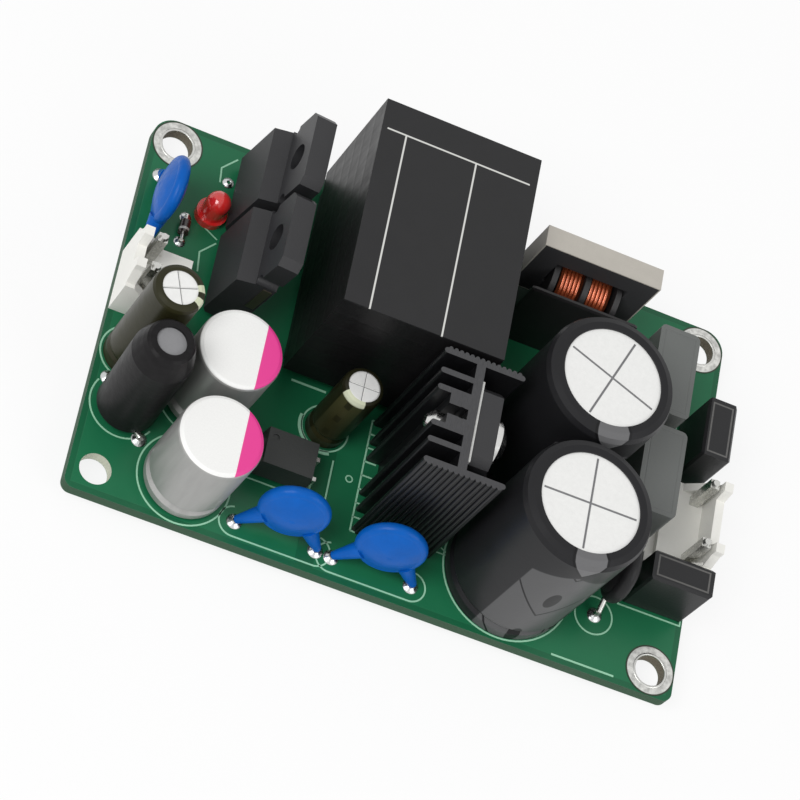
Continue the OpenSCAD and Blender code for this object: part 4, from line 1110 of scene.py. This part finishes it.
class SUPPLY_OT_heatsink(bpy.types.Operator):
    """Anodised extrusion with sawn ends"""

    bl_idname = "supply.heatsink"
    bl_label = "Heatsink"

    def execute(self, context):
        s = settings().parts
        top = top_mm("heatsink")
        f = Finish("anodised_finish", 0.38, metallic=0.35)
        z = f.point()[2]
        drawn, fine = f.noise(0.35, 3.0, (1.0, 1.0, 0.03)), f.noise(0.2, 4.0)
        sawn = z > top - 0.02
        saw = f.noise(0.3, 3.0, (6.0, 0.5, 1.0))
        black = f.vary(drawn * 0.7 + fine * 0.3, s.anodised[:], 0.75, 1.6)
        grey = f.mix(saw, paint(44, 44, 46), paint(82, 82, 84))
        f.feed(
            color=f.mix(sawn, black, grey),
            rough=drawn * 0.2 + 0.28 + sawn * 0.06,
            bump=drawn * (1 - sawn) + saw * sawn,
            depth=0.02,
        )
        dress("heatsink", f)
        return {"FINISHED"}


class SUPPLY_OT_discs(bpy.types.Operator):
    """Dipped coats of the disc capacitors and the thermistor"""

    bl_idname = "supply.discs"
    bl_label = "Dipped discs"

    def coat(self, name, base, rough, gloss, lump):
        f = Finish(name, rough, coat=gloss, specular=0.12)
        lumps, fine = f.noise(2.2, 2.0), f.noise(0.3, 3.0)
        return f.feed(
            color=f.vary(lumps * 0.7 + fine * 0.3, base, 0.8, 1.16),
            rough=lumps * 0.16 + (rough - 0.08), bump=lumps + fine * 0.06, depth=lump,
        )

    def execute(self, context):
        blue = self.coat("disc_finish", settings().caps.disc[:], 0.34, 0.04, 0.16)
        for i in (1, 2, 3):
            dress(f"disc_capacitor_{i}", blue)
        dress("thermistor", self.coat("thermistor_finish", paint(44, 44, 45), 0.5, 0.1, 0.12))
        return {"FINISHED"}


class SUPPLY_OT_headers(bpy.types.Operator):
    """The two moulded headers"""

    bl_idname = "supply.headers"
    bl_label = "Headers"

    def execute(self, context):
        base = settings().parts.header[:]
        nylon = moulded("nylon_finish", base, 0.42, 0.3, 0.02, 0.06, coat=0.08)
        for node in ("output_header", "input_header"):
            dress(node, nylon)
        return {"FINISHED"}


class SUPPLY_OT_small_parts(bpy.types.Operator):
    """Fuses, optocoupler, lamp and small diode"""

    bl_idname = "supply.small_parts"
    bl_label = "Small parts"

    def fuse(self, name, node, colour):
        """Moulded case with a plain printed frame on its top."""
        centre, size = centre_mm(node)
        top, inset, line, edge = top_mm(node), 0.55, 0.17, 0.04
        f = Finish(name, 0.36, coat=0.05, specular=0.35)
        x, y, z = f.point()
        half_x, half_y = size.x / 2 - inset, size.y / 2 - inset
        past = (abs(x - centre.x) - half_x) | (abs(y - centre.y) - half_y)
        border = past.between(-line - edge, 0.0, edge) * (z > top - 0.05)
        drift, fine = f.noise(6.0, 2.0), f.noise(0.3, 4.0)
        case = f.vary(drift * 0.6 + fine * 0.4, colour, 0.84, 1.16)
        return f.feed(
            color=f.mix(border * (fine * 0.5 + 0.5), case, paint(110, 109, 107)),
            rough=drift * 0.16 + fine * 0.05 + 0.28, bump=fine, depth=0.016,
        )

    def execute(self, context):
        s = settings().parts
        for node in ("fuse_1", "fuse_2"):
            dress(node, self.fuse(f"{node}_finish", node, s.fuse[:]))
        dress("optocoupler", moulded("coupler_finish", paint(44, 46, 45), 0.42, 0.2, 0.02))
        dress("optocoupler_leads", tinned("coupler_lead_finish", 0.24))
        lens = Finish("lens_finish", 0.12, coat=0.8)
        depth = lens.noise(1.5, 2.0)
        lens.feed(
            color=lens.vary(depth, s.lens[:], 0.8, 1.2),
            rough=depth * 0.1 + 0.08, bump=depth, depth=0.02,
        )
        lens.bsdf.inputs["Transmission Weight"].default_value = 0.12
        dress("lamp", lens)
        glass = Finish("diode_finish", 0.2, coat=0.6)
        along = glass.point()[1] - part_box("small_diode")[0].y / MM
        band_from, band_w = 0.3, 0.32
        band = along.between(band_from, band_from + band_w, 0.04)
        swirl = glass.noise(0.5, 2.0)
        body = glass.mix(swirl, paint(40, 34, 32), paint(66, 52, 44))
        glass.feed(
            color=glass.mix(band, body, paint(190, 190, 186)),
            rough=swirl * 0.1 + 0.14, bump=swirl, depth=0.01,
        )
        dress("small_diode", glass)
        return {"FINISHED"}


class SUPPLY_OT_underside(bpy.types.Operator):
    """Chip parts, bridge and controller below the board"""

    bl_idname = "supply.underside"
    bl_label = "Underside"

    def chip(self, name, body, tin):
        f = Finish(name, 0.4)
        y = f.point()[1]
        first, second, third = (abs(y - row) for row in CHIP_ROWS)
        tin_from = 0.66
        ends = (first & second & third).soft(tin_from, tin_from + 0.04)
        grain = f.noise(0.2, 3.0)
        inner = f.vary(grain, body, 0.85, 1.15)
        return f.feed(
            color=f.mix(ends, inner, f.mix(grain, shade(tin, 0.85), tin)),
            metallic=ends, rough=grain * 0.2 + 0.28, bump=grain, depth=0.01,
        )

    def execute(self, context):
        tin = settings().parts.tin[:]
        dress("chip_resistors", self.chip("chip_resistor_finish", paint(38, 38, 42), tin))
        dress("chip_capacitors", self.chip("chip_capacitor_finish", paint(168, 134, 98), tin))
        epoxy = moulded("epoxy_finish", paint(40, 40, 42), 0.48, 0.16, 0.02)
        for node in ("bridge_rectifier", "controller"):
            dress(node, epoxy)
        dress("underside_leads", tinned("underside_lead_finish", 0.26))
        return {"FINISHED"}


PIECES = (
    SUPPLY_OT_board,
    SUPPLY_OT_print,
    SUPPLY_OT_pads,
    SUPPLY_OT_transformer,
    SUPPLY_OT_choke,
    SUPPLY_OT_bulk,
    SUPPLY_OT_small_cans,
    SUPPLY_OT_films,
    SUPPLY_OT_inductor,
    SUPPLY_OT_packages,
    SUPPLY_OT_heatsink,
    SUPPLY_OT_discs,
    SUPPLY_OT_headers,
    SUPPLY_OT_small_parts,
    SUPPLY_OT_underside,
)


class SUPPLY_PT_build(bpy.types.Panel):
    """Buttons that dress the model, piece by piece"""

    bl_label = "Power supply"
    bl_idname = "SUPPLY_PT_build"
    bl_space_type = "VIEW_3D"
    bl_region_type = "UI"
    bl_category = "Power supply"

    def draw(self, context):
        self.layout.operator(SUPPLY_OT_stage.bl_idname)
        for piece in PIECES:
            self.layout.operator(piece.bl_idname)


SETTINGS = (
    BoardSettings, WoundSettings, CapacitorSettings, PartSettings, StageSettings, SupplySettings,
)
CLASSES = (*SETTINGS, SUPPLY_OT_stage, *PIECES, SUPPLY_PT_build)


def register():
    for cls in CLASSES:
        bpy.utils.register_class(cls)
    bpy.types.Scene.power_supply = group(
        SupplySettings, "Power supply", "Sizes and colours of the power supply"
    )


def unregister():
    del bpy.types.Scene.power_supply
    for cls in reversed(CLASSES):
        bpy.utils.unregister_class(cls)


def main():
    register()
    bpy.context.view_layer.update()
    bpy.ops.supply.stage()
    for piece in PIECES:
        getattr(bpy.ops.supply, piece.bl_idname.split(".")[1])()


if __name__ == "__main__":
    main()
